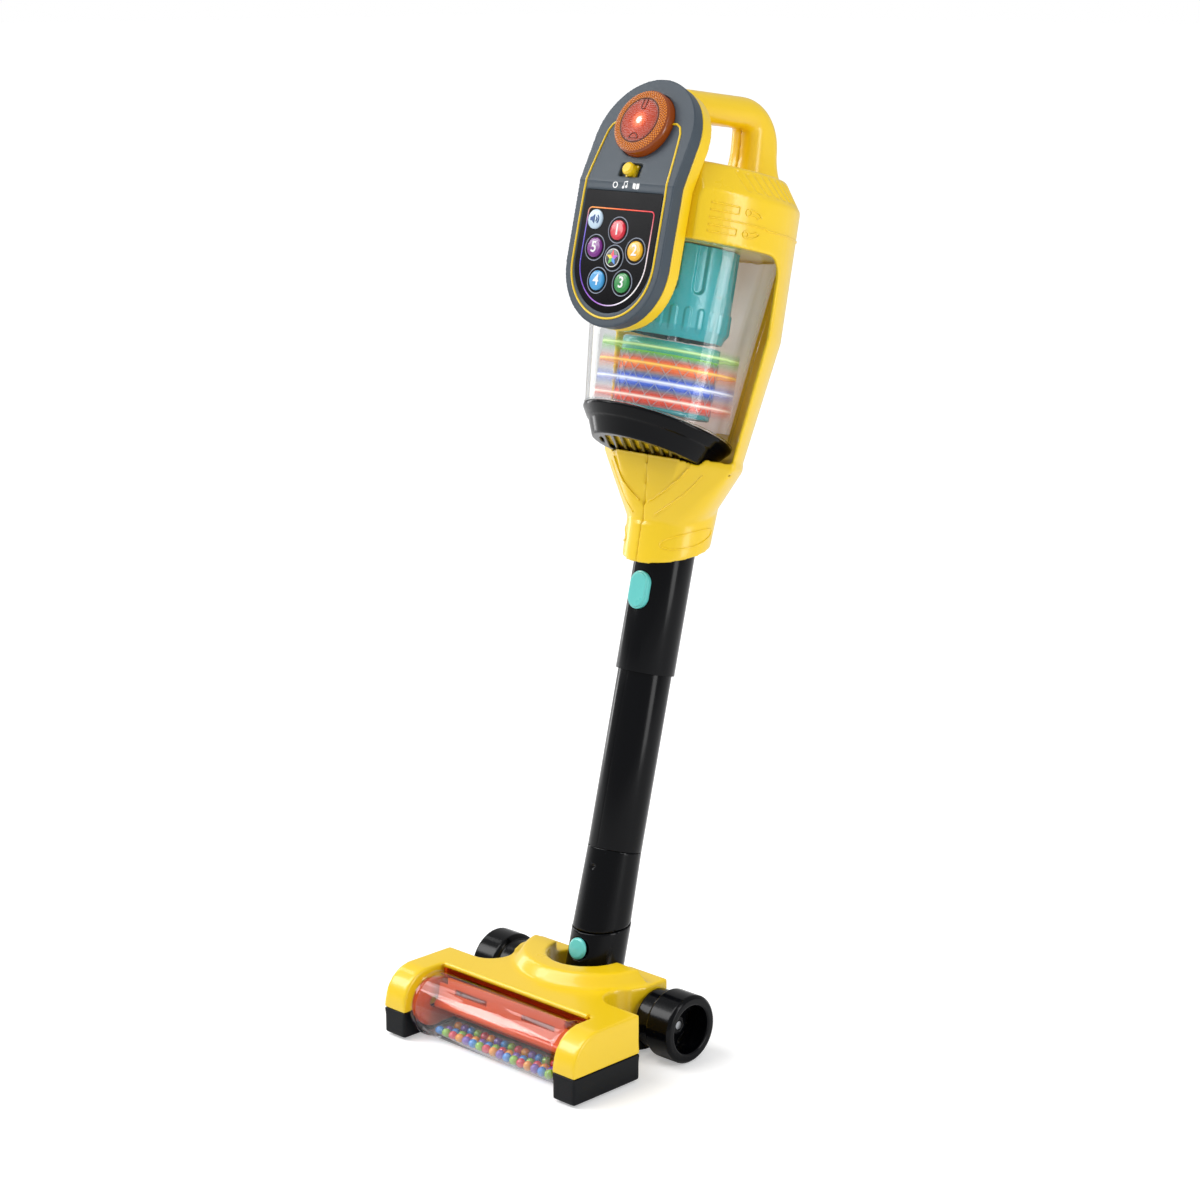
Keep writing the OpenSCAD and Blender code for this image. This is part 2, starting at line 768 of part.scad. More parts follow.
module housing(side) {
    color("gold") stick() difference() {
        union() {
            half(side) translate([0, -can_y, 0]) rear_shell();
            half(side) difference() {
                neck_form(0);
                neck_form(shell_w);
            }
            half(side) collar();
            half(side) handle();
        }
        translate([0, 0, collar_z - 40])
            cylinder(r = collar_bore_r, h = spigot_top + 1 - collar_z + 40);
        panel_space();
        translate([0, -cap_y, can_z]) rotate([-cap_tilt, 0, 0]) cap_outer(seam_gap);
        translate([0, -can_y, 0]) door_block(0.2);
        housing_screw_places() translate([-big / 2, 0, 0]) along_x()
            cylinder(r = screw_r + run_gap, h = big / 2 + 9);
        housing_screw_places() translate([-big / 2, 0, 0]) along_x()
            cylinder(r = screw_head_r + slide_gap, h = big / 2 - 8);
    }
}

module housing_left() { housing(-1); }
module housing_right() { housing(1); }

module housing_screws() {
    color("silver") stick() housing_screw_places() {
        translate([-8 - screw_head_h, 0, 0]) along_x()
            cylinder(r = screw_head_r, h = screw_head_h - 0.1);
        translate([-8 - 1, 0, 0]) along_x() cylinder(r = screw_r, h = 17);
    }
}

module battery_door() {
    color("gold") on_can() intersection() {
        rear_shell();
        door_block(0);
    }
}

module battery_places() {
    for (i = [0 : len(battery_y) - 1]) translate([-battery_l / 2, battery_y[i], battery_z[i]])
        along_x() children();
}

module battery_tray() {
    tray_low = window_top + ceiling_t;
    color("#2b2d30") stick() difference() {
        union() {
            translate([-tray_x, 13, tray_low]) cube([2 * tray_x, 17, 33]);
            translate([-tray_x, -2.5, tray_low]) cube([2 * tray_x, 16, 18]);
        }
        battery_places() cylinder(r = battery_r + 0.2, h = battery_l + 0.4);
    }
}

module batteries() {
    color("darkorange") stick() battery_places() translate([0, 0, 0.2])
        cylinder(r = battery_r, h = battery_l);
}

module speaker() {
    color("#333333") on_can() translate([0, -5, roof_z - shell_w - 8.1]) {
        cylinder(r = 12, h = 5);
        translate([0, 0, 5]) cylinder(r = 20, h = 3);
    }
}

// Panel frames: X across, Y up along the face, Z out of the face
module panel_low_frame() {
    translate([0, -panel_y, bend_z]) rotate([90, 0, 0]) children();
}

module panel_up_frame() {
    translate([0, -panel_y, bend_z]) rotate([90 - panel_tilt, 0, 0]) children();
}

module lower_outline(width, top) {
    translate([0, bot_c]) circle(width / 2);
    translate([blend - width / 2, bot_c]) square([width - 2 * blend, top - bot_c]);
}

module upper_outline(width, low) {
    intersection() {
        union() {
            translate([0, top_c]) circle(width / 2);
            translate([2 * blend - width / 2, low]) square([width - 4 * blend, top_c - low]);
        }
        translate([-width, low]) square([2 * width, big]);
    }
}

// One layer of the bent panel between two depths; the two parts lap at the bend
module panel_layer(z0, z1, low_end, up_start) {
    panel_low_frame() translate([0, 0, z0]) linear_extrude(z1 - z0) lower_outline(panel_w, low_end);
    panel_up_frame() translate([0, 0, z0]) linear_extrude(z1 - z0) upper_outline(panel_w, up_start);
}

module panel_backing() {
    color("gold") stick() difference() {
        panel_layer(-bezel_t - backing_t, -bezel_t, -2, 2);
        panel_low_frame() translate([0, 0, recess_z]) linear_extrude(big) display_outline(-3);
        panel_up_frame() translate([0, lamp_s, recess_z]) cylinder(r = lamp_r + 1, h = big);
    }
}

module display_outline(gap) {
    width = display_w + 2 * gap;
    translate([0, display_bot_c]) circle(width / 2);
    translate([-width / 2, display_bot_c]) square([width, -display_top + gap - display_bot_c]);
}

module at_keys(keys) {
    panel_low_frame() for (place = keys) translate([place[0], place[1], 0]) children();
}

module panel_bezel() {
    color("#55616d") stick() difference() {
        panel_layer(-bezel_t, 0, 0, -1);
        panel_low_frame() translate([0, 0, -display_t - 0.2]) linear_extrude(big) display_outline(0.1);
        at_keys(all_keys) translate([0, 0, -big]) cylinder(r = key_flange_r + slide_gap, h = big);
        panel_up_frame() {
            translate([0, lamp_s, -lamp_seat - 1]) cylinder(r = lamp_r + slide_gap, h = big);
            translate([0, lamp_s, -big])
                cylinder(r = lamp_r + lamp_flange + slide_gap, h = big - lamp_seat);
            translate([-slider_w / 2, slider_s - slider_h / 2, -slider_depth])
                cube([slider_w, slider_h, big]);
        }
    }
}

module display_plate() {
    color("#0b0c10") stick() difference() {
        panel_low_frame() translate([0, 0, -display_t - 0.2]) linear_extrude(display_t)
            display_outline(0);
        at_keys(all_keys) translate([0, 0, -big / 2]) cylinder(r = key_hole_r, h = big);
    }
}

module circuit_board() {
    color("darkgreen") stick() panel_low_frame() translate([0, 0, recess_z])
        linear_extrude(board_t) display_outline(-4);
}

module key_pad() {
    color("#d9d9d9") stick() panel_low_frame() translate([0, 0, recess_z + board_t])
        linear_extrude(pad_t) display_outline(-5);
}

module lamp_led() {
    color("white") stick() panel_up_frame() translate([0, lamp_s, recess_z]) {
        cylinder(r = 10, h = board_t);
        cylinder(r = 2.5, h = 7);
        translate([0, 0, 7]) sphere(r = 2.5);
    }
}

module lamp_lens() {
    rear = -lamp_seat - 3;
    color([0.8, 0.33, 0.1, 0.7]) stick() panel_up_frame() translate([0, lamp_s, 0])
        rotate_extrude() polygon([
        [0, lamp_proud - 3.5], [lamp_r - 3, lamp_proud - 4.5], [lamp_r - 3, rear],
        [lamp_r + lamp_flange, rear],
        [lamp_r + lamp_flange, -lamp_seat - 0.2], [lamp_r, -lamp_seat - 0.2],
        [lamp_r, lamp_proud - 2.5],
        [lamp_r - 3.5, lamp_proud], [0, lamp_proud + 0.8]
    ]);
}

module mode_slider() {
    foot = slider_h - 2 * slide_gap;
    color("gold") stick() panel_up_frame() translate([0, slider_s, -slider_depth + 0.2]) {
        translate([-foot / 2, -foot / 2, 0]) cube([foot, foot, 2]);
        cylinder(r = knob_r, h = 7);
        translate([0, 0, 7]) cylinder(r1 = knob_r, r2 = knob_r - 1.2, h = 1.2);
    }
}

module key_at(place) {
    flange_top = -display_t - 0.2 - 0.2;
    stick() panel_low_frame() translate([place[0], place[1], 0]) rotate_extrude() polygon([
        [0, -bezel_t + 0.7], [key_post_r, -bezel_t + 0.7], [key_post_r, flange_top - 2],
        [key_flange_r, flange_top - 2],
        [key_flange_r, flange_top], [key_r, flange_top], [key_r, key_proud - 0.7],
        [key_r - 1.2, key_proud - 0.1], [0, key_proud]
    ]);
}

module key_1() { color("crimson") key_at(number_keys[0]); }
module key_2() { color("goldenrod") key_at(number_keys[1]); }
module key_3() { color("forestgreen") key_at(number_keys[2]); }
module key_4() { color("dodgerblue") key_at(number_keys[3]); }
module key_5() { color("purple") key_at(number_keys[4]); }
module key_star() { color("#222222") key_at(star_key); }
module key_volume() { color("white") key_at(volume_key); }

// Clear cone, flat where the panel's back covers it
module canister() {
    can_top = window_top - seam_gap;
    slope = (can_top_r - can_low_r) / (can_top - can_z);
    low = can_z - 40;
    low_r = can_low_r - 40 * slope;
    color([0.9, 0.95, 0.97, 0.3]) stick() difference() {
        translate([0, -can_y, low]) cylinder(r1 = low_r, r2 = can_top_r, h = can_top - low);
        translate([0, -can_y, low - eps])
            cylinder(r1 = low_r - can_wall, r2 = can_top_r - can_wall, h = can_top - low + 2 * eps);
        translate([0, -cap_y, can_z]) rotate([-cap_tilt, 0, 0])
            translate([-big / 2, -big / 2, -big]) cube(big);
        panel_low_frame() translate([0, 0, -bezel_t - backing_t - slide_gap]) linear_extrude(big)
            lower_outline(panel_w + 1, 0);
    }
}

// Outer form of the cap below its rim; gap is added all round
module cap_outer(gap) {
    band = -cap_h * 0.42;
    rotate_extrude() polygon([
        [0, gap], [cap_r + gap, gap], [cap_r + gap, -2], [cap_r - 5 + gap, band],
        [cap_r - 6 + gap, band],
        [cap_low_r + gap, -cap_h - gap], [0, -cap_h - gap]
    ]);
}

module canister_cap() {
    band = -cap_h * 0.42;
    slot_pitch = 7;
    color("#121316") on_cap() difference() {
        cap_outer(0);
        rotate_extrude() polygon([
            [0, -cap_plate_t], [cap_r - 8, -cap_plate_t], [cap_r - 9, band],
            [cap_low_r - 4, -cap_h + 2.5], [0, -cap_h + 2.5]
        ]);
        intersection() {
            translate([0, 0, -cap_h - 1]) cylinder(r = cap_low_r - 6, h = 4);
            for (i = [-5 : 5]) rotate([0, 0, 35])
                translate([i * slot_pitch - 2, -big / 2, -big / 2]) cube([4, big, big]);
        }
        rotate([cap_tilt, 0, 0]) translate([0, cap_y - can_y, -20])
            cylinder(r = shaft_r + run_gap, h = 40);
    }
}

module vent_plate() {
    color("gold") on_cap() translate([0, 0, -cap_h + 2.6]) difference() {
        cylinder(r = cap_low_r - 4.4, h = 2);
        rotate([cap_tilt, 0, 0]) translate([0, 0, -20]) cylinder(r = shaft_r + 1, h = 40);
    }
}

module shroud() {
    shroud_top = window_top - 0.1;
    mid = shroud_z + 8;
    wall = 2.5;
    color("#1fa5a8") on_can() rotate_extrude() polygon([
        [shroud_r - 3 - wall, shroud_z], [shroud_r - 3, shroud_z], [shroud_r, mid],
        [shroud_r - 1, shroud_top],
        [shaft_r + 1, shroud_top], [shaft_r + 1, shroud_top - 3],
        [shroud_r - 1 - wall, shroud_top - 3], [shroud_r - wall, mid]
    ]);
}

module column_shaft() {
    color("silver") on_can() translate([0, 0, can_z - 8])
        cylinder(r = shaft_r, h = window_top - 0.2 - can_z + 8);
}

module mesh_column() {
    wall = 2;
    color("#e6e6e6") on_can() difference() {
        translate([0, 0, mesh_low]) cylinder(r = mesh_r, h = mesh_top - mesh_low);
        translate([0, 0, mesh_low + wall])
            cylinder(r = mesh_r - wall, h = mesh_top - mesh_low - 2 * wall);
        translate([0, 0, mesh_low - 1]) cylinder(r = shaft_r + run_gap, h = big);
    }
}

// Coloured ring: a band near the canister's wall on a thin web around the column
module spin_ring(index) {
    on_can() translate([0, 0, ring_zs[index]]) {
        tube(ring_r, ring_r - ring_t, -ring_h / 2, ring_h / 2);
        tube(ring_r - ring_t / 2, mesh_r + 0.05, -ring_t / 2, ring_t / 2);
    }
}

module ring_green() { color("limegreen") spin_ring(0); }
module ring_orange() { color("orangered") spin_ring(1); }
module ring_blue() { color("royalblue") spin_ring(2); }
module ring_red() { color("red") spin_ring(3); }

head_cover();
head_base();
drum_cradle();
drum_shell();
drum_paddle();
beads_blue();
beads_pink();
beads_purple();
beads_lime();
beads_amber();
wheel_axle();
axle_caps();
wheel_left();
wheel_right();
base_screws();
elbow();
elbow_button();
connector();
lower_tube_left();
lower_tube_right();
sleeve_left();
sleeve_right();
sleeve_button();
housing_left();
housing_right();
housing_screws();
battery_door();
battery_tray();
batteries();
speaker();
panel_backing();
panel_bezel();
display_plate();
circuit_board();
key_pad();
lamp_led();
lamp_lens();
mode_slider();
key_1();
key_2();
key_3();
key_4();
key_5();
key_star();
key_volume();
canister();
canister_cap();
vent_plate();
shroud();
column_shaft();
mesh_column();
ring_green();
ring_orange();
ring_blue();
ring_red();
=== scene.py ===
"""Dresses the toy stick vacuum: a head with a bead drum, a black wand and a yellow hand unit with keys."""

import json
import math

import bmesh
import bpy
import numpy as np
from bpy.props import FloatProperty, FloatVectorProperty, IntProperty, PointerProperty
from mathutils import Matrix, Vector
from mathutils.bvhtree import BVHTree

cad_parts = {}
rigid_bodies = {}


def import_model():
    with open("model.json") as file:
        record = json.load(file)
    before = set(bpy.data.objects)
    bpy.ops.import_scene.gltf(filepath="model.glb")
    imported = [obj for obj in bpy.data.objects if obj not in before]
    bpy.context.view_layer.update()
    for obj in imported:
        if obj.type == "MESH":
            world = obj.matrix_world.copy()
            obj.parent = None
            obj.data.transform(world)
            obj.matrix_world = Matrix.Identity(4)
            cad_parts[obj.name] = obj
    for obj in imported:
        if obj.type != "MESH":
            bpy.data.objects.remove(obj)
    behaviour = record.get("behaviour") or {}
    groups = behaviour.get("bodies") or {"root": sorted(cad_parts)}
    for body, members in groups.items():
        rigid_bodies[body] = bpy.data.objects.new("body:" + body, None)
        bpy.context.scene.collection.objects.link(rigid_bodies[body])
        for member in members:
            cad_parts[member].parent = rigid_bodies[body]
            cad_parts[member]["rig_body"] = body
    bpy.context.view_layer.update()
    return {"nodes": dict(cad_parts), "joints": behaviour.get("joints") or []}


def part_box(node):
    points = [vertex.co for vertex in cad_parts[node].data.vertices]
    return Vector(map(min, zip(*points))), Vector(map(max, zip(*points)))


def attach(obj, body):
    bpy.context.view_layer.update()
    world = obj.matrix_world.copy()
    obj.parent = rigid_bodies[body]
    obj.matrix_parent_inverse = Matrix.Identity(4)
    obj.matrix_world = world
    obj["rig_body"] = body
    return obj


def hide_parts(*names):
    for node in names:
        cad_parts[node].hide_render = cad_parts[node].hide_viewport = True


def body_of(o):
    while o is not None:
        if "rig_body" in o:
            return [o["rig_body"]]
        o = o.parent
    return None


bl_info = {
    "name": "Toy Stick Vacuum",
    "version": (1, 0, 0),
    "blender": (4, 5, 0),
    "location": "View3D > Sidebar > Toy Vacuum",
    "description": "Builds the visible pieces of a toy stick vacuum on its CAD frame",
    "category": "Object",
}

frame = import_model()
CAD = frame["nodes"]
JOINTS = {joint["name"]: joint for joint in frame["joints"]}
MM = 0.001

# Places on the stick in metres, and leans in degrees
PANEL_BEND = (0, -0.103, 0.562)
PANEL_LEAN = 14.7
CANISTER_FOOT = (0, -0.030, 0)
CAP_CENTRE = (0, -0.0305, 0.404)
CAP_TILT = -13
HANDLE_FOOT = (0, 0.030, 0.572)
HANDLE_LEAN = 7

# The stick's own frame: across, behind and along, from the joint on which it tilts
ALONG = Vector(JOINTS["hand_unit_lift"]["axis"]).normalized()
ACROSS = Vector((1.0, 0.0, 0.0))
BEHIND = ALONG.cross(ACROSS)
PIVOT = Vector(JOINTS["tilt"]["pos_m"])
STICK = Matrix.Translation(PIVOT) @ Matrix((ACROSS, BEHIND, ALONG)).transposed().to_4x4()


def slanted(place, degrees=0):
    """A frame at a place on the stick, turned about the line across it; its points are in millimetres."""
    return STICK @ Matrix.Translation(place) @ Matrix.Rotation(math.radians(degrees), 4, "X")


PANEL_LOW = slanted(PANEL_BEND, 90)
PANEL_UP = slanted(PANEL_BEND, 90 - PANEL_LEAN)
CAN = slanted(CANISTER_FOOT)
CAP = slanted(CAP_CENTRE, CAP_TILT)
HANDLE = slanted(HANDLE_FOOT, HANDLE_LEAN)

# Camera fitted to the photograph: its place in metres and its directions
CAMERA_PLACE = (1.2394, -1.2775, 0.7341)
CAMERA_RIGHT = Vector((0.7206, 0.6934, 0))
CAMERA_UP = Vector((-0.1601, 0.1664, 0.9730))
CAMERA_AHEAD = Vector((-0.6747, 0.7011, -0.2309))
CAMERA_LENS = 79.96
CAMERA_SENSOR = 36

# Voxel grids in metres of the smaller softened pieces
VOXELS = {
    "wheel_left": 0.0006,
    "wheel_right": 0.0006,
    "elbow": 0.0007,
    "connector": 0.0008,
    "elbow_button": 0.00035,
    "sleeve_button": 0.00035,
    "canister_cap": 0.0008,
    "panel_backing": 0.0008,
    "mode_slider": 0.0003,
    "keys": 0.0003,
}

# Widths in metres of the bevels on the other pieces
PIN_EDGE = 0.0002
FINE_EDGE = 0.0003
EDGE = 0.0004
TUBE_EDGE = 0.0005
AXLE_CAP_EDGE = 0.0006
UNBEVELLED = 0.0

# Radii in metres of the thin lines on the panel, the keys and the lens
STAR_LINE = 0.0003
PRINT_LINE = 0.00035
FRAME_LINE = 0.00045


def srgb(value):
    """A colour written as 0xRRGGBB, as the linear values that Blender's sockets take."""
    parts = [(value >> shift & 255) / 255 for shift in (16, 8, 0)]
    return tuple(p / 12.92 if p <= 0.04045 else ((p + 0.055) / 1.055) ** 2.4 for p in parts)


def tint(label, value, text):
    """A colour property with its default in linear values."""
    return FloatVectorProperty(
        name=label, description=text, subtype="COLOR", size=3, min=0, max=1, default=srgb(value)
    )


def length(label, value, text):
    """A length property in metres."""
    return FloatProperty(name=label, description=text, default=value, min=0, unit="LENGTH", precision=4)


class VacuumFinish(bpy.types.PropertyGroup):
    """Colours of the moulded pieces."""

    yellow: tint("Yellow", 0xF2CB14, "Covers and housing")
    gloss_black: tint("Gloss black", 0x050609, "Wand, wheels and canister cap")
    satin_black: tint("Satin black", 0x0B0E12, "Base of the head")
    slate: tint("Slate", 0x414C56, "Bezel of the panel")
    orange: tint("Orange", 0xE04C06, "Drum paddle and cradle")
    teal: tint("Teal", 0x00A8B0, "Shroud in the canister")
    button_teal: tint("Button teal", 0x62C8C3, "Release buttons")


class VacuumSizes(bpy.types.PropertyGroup):
    """Sizes of the trim and of the softened edges."""

    voxel: length("Voxel", 0.0012, "Grid of the softened housing")
    head_voxel: length("Head voxel", 0.00105, "Grid of the softened head")
    fine_voxel: length("Fine voxel", 0.0007, "Grid of the softened panel pieces")
    ridge: length("Ridge", 0.0006, "Radius of the raised outlines on the housing")
    stripe: length("Stripe", 0.00075, "Radius of the yellow pinstripe on the bezel")
    lattice_bar: length("Lattice bar", 0.0003, "Radius of the bars of the mesh column")
    lattice_count: IntProperty(name="Lattice bars", description="Bars in each direction", default=18, min=4)
    key_ring: length("Key ring", 0.0088, "Radius of the ring printed around a key")


def local(matrix, points):
    """Points in millimetres of a frame, as an array of points of the scene in metres."""
    array = np.asarray(points, float).reshape(-1, 3) * MM
    turn = np.array(matrix.to_3x3())
    return array @ turn.T + np.array(matrix.translation)


def into(matrix, array):
    """Points of the scene in metres, as millimetres of a frame."""
    turn = np.array(matrix.to_3x3())
    return (array - np.array(matrix.translation)) @ turn / MM


def add_object(name, mesh, material=None):
    """A new object at the origin for a finished mesh."""
    obj = bpy.data.objects.new(name, mesh)
    bpy.context.scene.collection.objects.link(obj)
    if material is not None:
        mesh.materials.clear()
        mesh.materials.append(material)
    return obj


def settle(obj, body, slot, *nodes):
    """Rides the piece on its body and hides the CAD nodes it stands for; slot is not used."""
    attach(obj, body)
    if nodes:
        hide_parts(*nodes)
    return obj


def baked(obj):
    """The object's mesh with its modifiers applied; the modifiers are removed."""
    bpy.context.view_layer.update()
    graph = bpy.context.evaluated_depsgraph_get()
    mesh = bpy.data.meshes.new_from_object(obj.evaluated_get(graph))
    obj.modifiers.clear()
    old = obj.data
    obj.data = mesh
    bpy.data.meshes.remove(old)
    return obj


def reshape(source, target, change):
    """Writes one mesh into another, with a change made on the way."""
    shape = bmesh.new()
    shape.from_mesh(source)
    change(shape)
    shape.to_mesh(target)
    shape.free()


def welded_copy(node):
    """A mesh copied from a CAD node with its loose triangles joined."""
    mesh = bpy.data.meshes.new(node)
    weld = 2e-5
    reshape(CAD[node].data, mesh, lambda shape: bmesh.ops.remove_doubles(shape, verts=shape.verts, dist=weld))
    return mesh


def surface(mesh):
    """Places and normals of a mesh's vertices as arrays."""
    count = len(mesh.vertices)
    places = np.empty(count * 3, np.float32)
    normals = np.empty(count * 3, np.float32)
    mesh.vertices.foreach_get("co", places)
    mesh.vertex_normals.foreach_get("vector", normals)
    return places.reshape(-1, 3).astype(float), normals.reshape(-1, 3).astype(float)


def blur(obj, soften, rounds):
    """Smooths the part of a mesh where soften gives a weight to the places of its vertices."""
    weights = soften(surface(obj.data)[0])
    group = obj.vertex_groups.new(name="Soft")
    for level in np.linspace(0.1, 1, 10):
        chosen = np.nonzero(np.abs(weights - level) <= 0.05)[0]
        group.add([int(i) for i in chosen], float(level), "REPLACE")
    smooth = obj.modifiers.new("Soft", "SMOOTH")
    smooth.factor = 0.5
    smooth.iterations = rounds
    smooth.vertex_group = group.name
    baked(obj)
    obj.vertex_groups.clear()


def moulded(node, voxel, rounds, material, slot, sculpt=None, soften=None, lining=None):
    """A CAD solid with the soft edges of a moulding, from a voxel remesh and rounds of smoothing.

    lining adds to the solid first, soften gives the weights and rounds of a second smoothing, and sculpt
    gives a move in millimetres for each point at the end.
    """
    mesh = welded_copy(node)
    if lining is not None:
        reshape(mesh, mesh, lambda shape: lining(node, shape))
    obj = add_object(f"{node}_moulded", mesh)
    remesh = obj.modifiers.new("Remesh", "REMESH")
    remesh.mode = "VOXEL"
    remesh.voxel_size = voxel
    smooth = obj.modifiers.new("Smooth", "SMOOTH")
    smooth.factor = 0.5
    smooth.iterations = rounds
    baked(obj)
    if soften is not None:
        blur(obj, *soften)
    mesh = obj.data
    if sculpt is not None:
        places, normals = surface(mesh)
        places += sculpt(places, normals) * MM
        mesh.vertices.foreach_set("co", places.astype(np.float32).ravel())
    mesh.polygons.foreach_set("use_smooth", [True] * len(mesh.polygons))
    mesh.update()
    mesh.materials.clear()
    mesh.materials.append(material)
    return settle(obj, body_of(CAD[node])[0], slot, node)


def eased(node, width, material, slot, angle=32):
    """A CAD solid with narrow bevels on its sharp edges and smooth curved faces."""
    flat = math.radians(0.4)

    def dissolve(shape):
        """Joins the triangles of each flat face."""
        bmesh.ops.dissolve_limit(
            shape, angle_limit=flat, verts=shape.verts, edges=shape.edges, delimit={"NORMAL"}
        )

    obj = add_object(f"{node}_eased", welded_copy(node))
    reshape(obj.data, obj.data, dissolve)
    if width:
        bevel = obj.modifiers.new("Bevel", "BEVEL")
        bevel.width = width
        bevel.segments = 3
        bevel.limit_method = "ANGLE"
        bevel.angle_limit = math.radians(angle)
        bevel.use_clamp_overlap = True
        bevel.miter_outer = "MITER_ARC"
        baked(obj)
    mesh = obj.data
    mesh.polygons.foreach_set("use_smooth", [True] * len(mesh.polygons))
    mesh.set_sharp_from_angle(angle=math.radians(angle))
    mesh.materials.clear()
    mesh.materials.append(material)
    return settle(obj, body_of(CAD[node])[0], slot, node)


def grid_mesh(name, points, columns, rows, wrap=True, along=None):
    """A smooth mesh over rows of points, each a ring or an open row; along has a value for each point."""
    mesh = bpy.data.meshes.new(name)
    faces = []
    last = columns if wrap else columns - 1
    for row in range(rows - 1):
        here, above = row * columns, (row + 1) * columns
        for column in range(last):
            after = (column + 1) % columns
            faces.append((here + column, here + after, above + after, above + column))
    mesh.from_pydata([tuple(p) for p in points], [], faces)
    if along is not None:
        values = mesh.attributes.new("along", "FLOAT", "POINT").data
        values.foreach_set("value", np.asarray(along, np.float32))

    def close(shape):
        """Merges the poles' points and turns the faces outwards."""
        bmesh.ops.remove_doubles(shape, verts=shape.verts, dist=1e-6)
        bmesh.ops.recalc_face_normals(shape, faces=shape.faces)

    reshape(mesh, mesh, close)
    mesh.polygons.foreach_set("use_smooth", [True] * len(mesh.polygons))
    return mesh


def lathe(name, matrix, profile, segments, swell=None, along=None):
    """A turned mesh about a frame's Z axis; swell adds to the radii, from angles, radii and heights."""
    angles = np.linspace(0, 2 * math.pi, segments, endpoint=False)
    radii = np.repeat([p[0] for p in profile], segments)
    heights = np.repeat([p[1] for p in profile], segments)
    turns = np.tile(angles, len(profile))
    if swell is not None:
        radii = radii + swell(turns, radii, heights)
    points = np.stack([radii * np.sin(turns), -radii * np.cos(turns), heights], axis=1)
    values = None if along is None else np.repeat(along, segments)
    return grid_mesh(name, local(matrix, points), segments, len(profile), along=values)


def plate_mesh(name, outlines, matrix, low, high, holes=()):
    """A flat plate from outlines in millimetres, with its holes, between two heights of a frame."""
    curve = bpy.data.curves.new(name, "CURVE")
    curve.dimensions = "2D"
    curve.fill_mode = "BOTH"
    for outline in [*outlines, *holes]:
        spline = curve.splines.new("POLY")
        spline.points.add(len(outline) - 1)
        for point, (x, y) in zip(spline.points, outline):
            point.co = (x, y, 0, 1)
        spline.use_cyclic_u = True
    curve.extrude = (high - low) / 2
    return placed_curve(name, curve, matrix @ Matrix.Translation((0, 0, (low + high) / 2 * MM)))


def placed_curve(name, curve, matrix):
    """The mesh of a flat curve or a text drawn in millimetres, with its place in its points."""
    holder = bpy.data.objects.new(name, curve)
    bpy.context.scene.collection.objects.link(holder)
    bpy.context.view_layer.update()
    graph = bpy.context.evaluated_depsgraph_get()
    mesh = bpy.data.meshes.new_from_object(holder.evaluated_get(graph))
    bpy.data.objects.remove(holder)
    bpy.data.curves.remove(curve)
    mesh.transform(matrix @ Matrix.Scale(MM, 4))
    mesh.name = name
    return mesh


def numeral(name, text, size, matrix, low, high):
    """A plain figure as a mesh, centred on a frame."""
    curve = bpy.data.curves.new(name, "FONT")
    curve.body = text
    curve.size = size
    curve.align_x = "CENTER"
    curve.align_y = "CENTER"
    curve.offset = size * 0.012
    curve.extrude = (high - low) / 2
    return placed_curve(name, curve, matrix @ Matrix.Translation((0, 0, (low + high) / 2 * MM)))


def circle(radius, count=48, x=0.0, y=0.0, start=0.0, sweep=360.0):
    """Points on a circle or an arc, in millimetres."""
    whole = sweep >= 360
    turns = np.radians(start + np.linspace(0, sweep, count, endpoint=not whole))
    return [(x + radius * math.cos(t), y + radius * math.sin(t)) for t in turns]


def group_socket(tree, label, kind, out=False, default=None):
    """A named input or output on a node tree."""
    socket = tree.interface.new_socket(label, in_out="OUTPUT" if out else "INPUT", socket_type=kind)
    if default is not None:
        socket.default_value = default
    return socket


def wire(tree, *pairs):
    """Links output sockets to input sockets."""
    for source, target in pairs:
        tree.links.new(source, target)


def end_tree(tree, source, shape):
    """Ends a Geometry Nodes tree: smooth faces, real instances and the material of its input."""
    new = tree.nodes.new
    smooth, real = new("GeometryNodeSetShadeSmooth"), new("GeometryNodeRealizeInstances")
    paint, end = new("GeometryNodeSetMaterial"), new("NodeGroupOutput")
    wire(
        tree,
        (shape, smooth.inputs["Geometry"]),
        (smooth.outputs["Geometry"], real.inputs["Geometry"]),
        (real.outputs["Geometry"], paint.inputs["Geometry"]),
        (source.outputs["Material"], paint.inputs["Material"]),
        (paint.outputs["Geometry"], end.inputs["Geometry"]),
    )


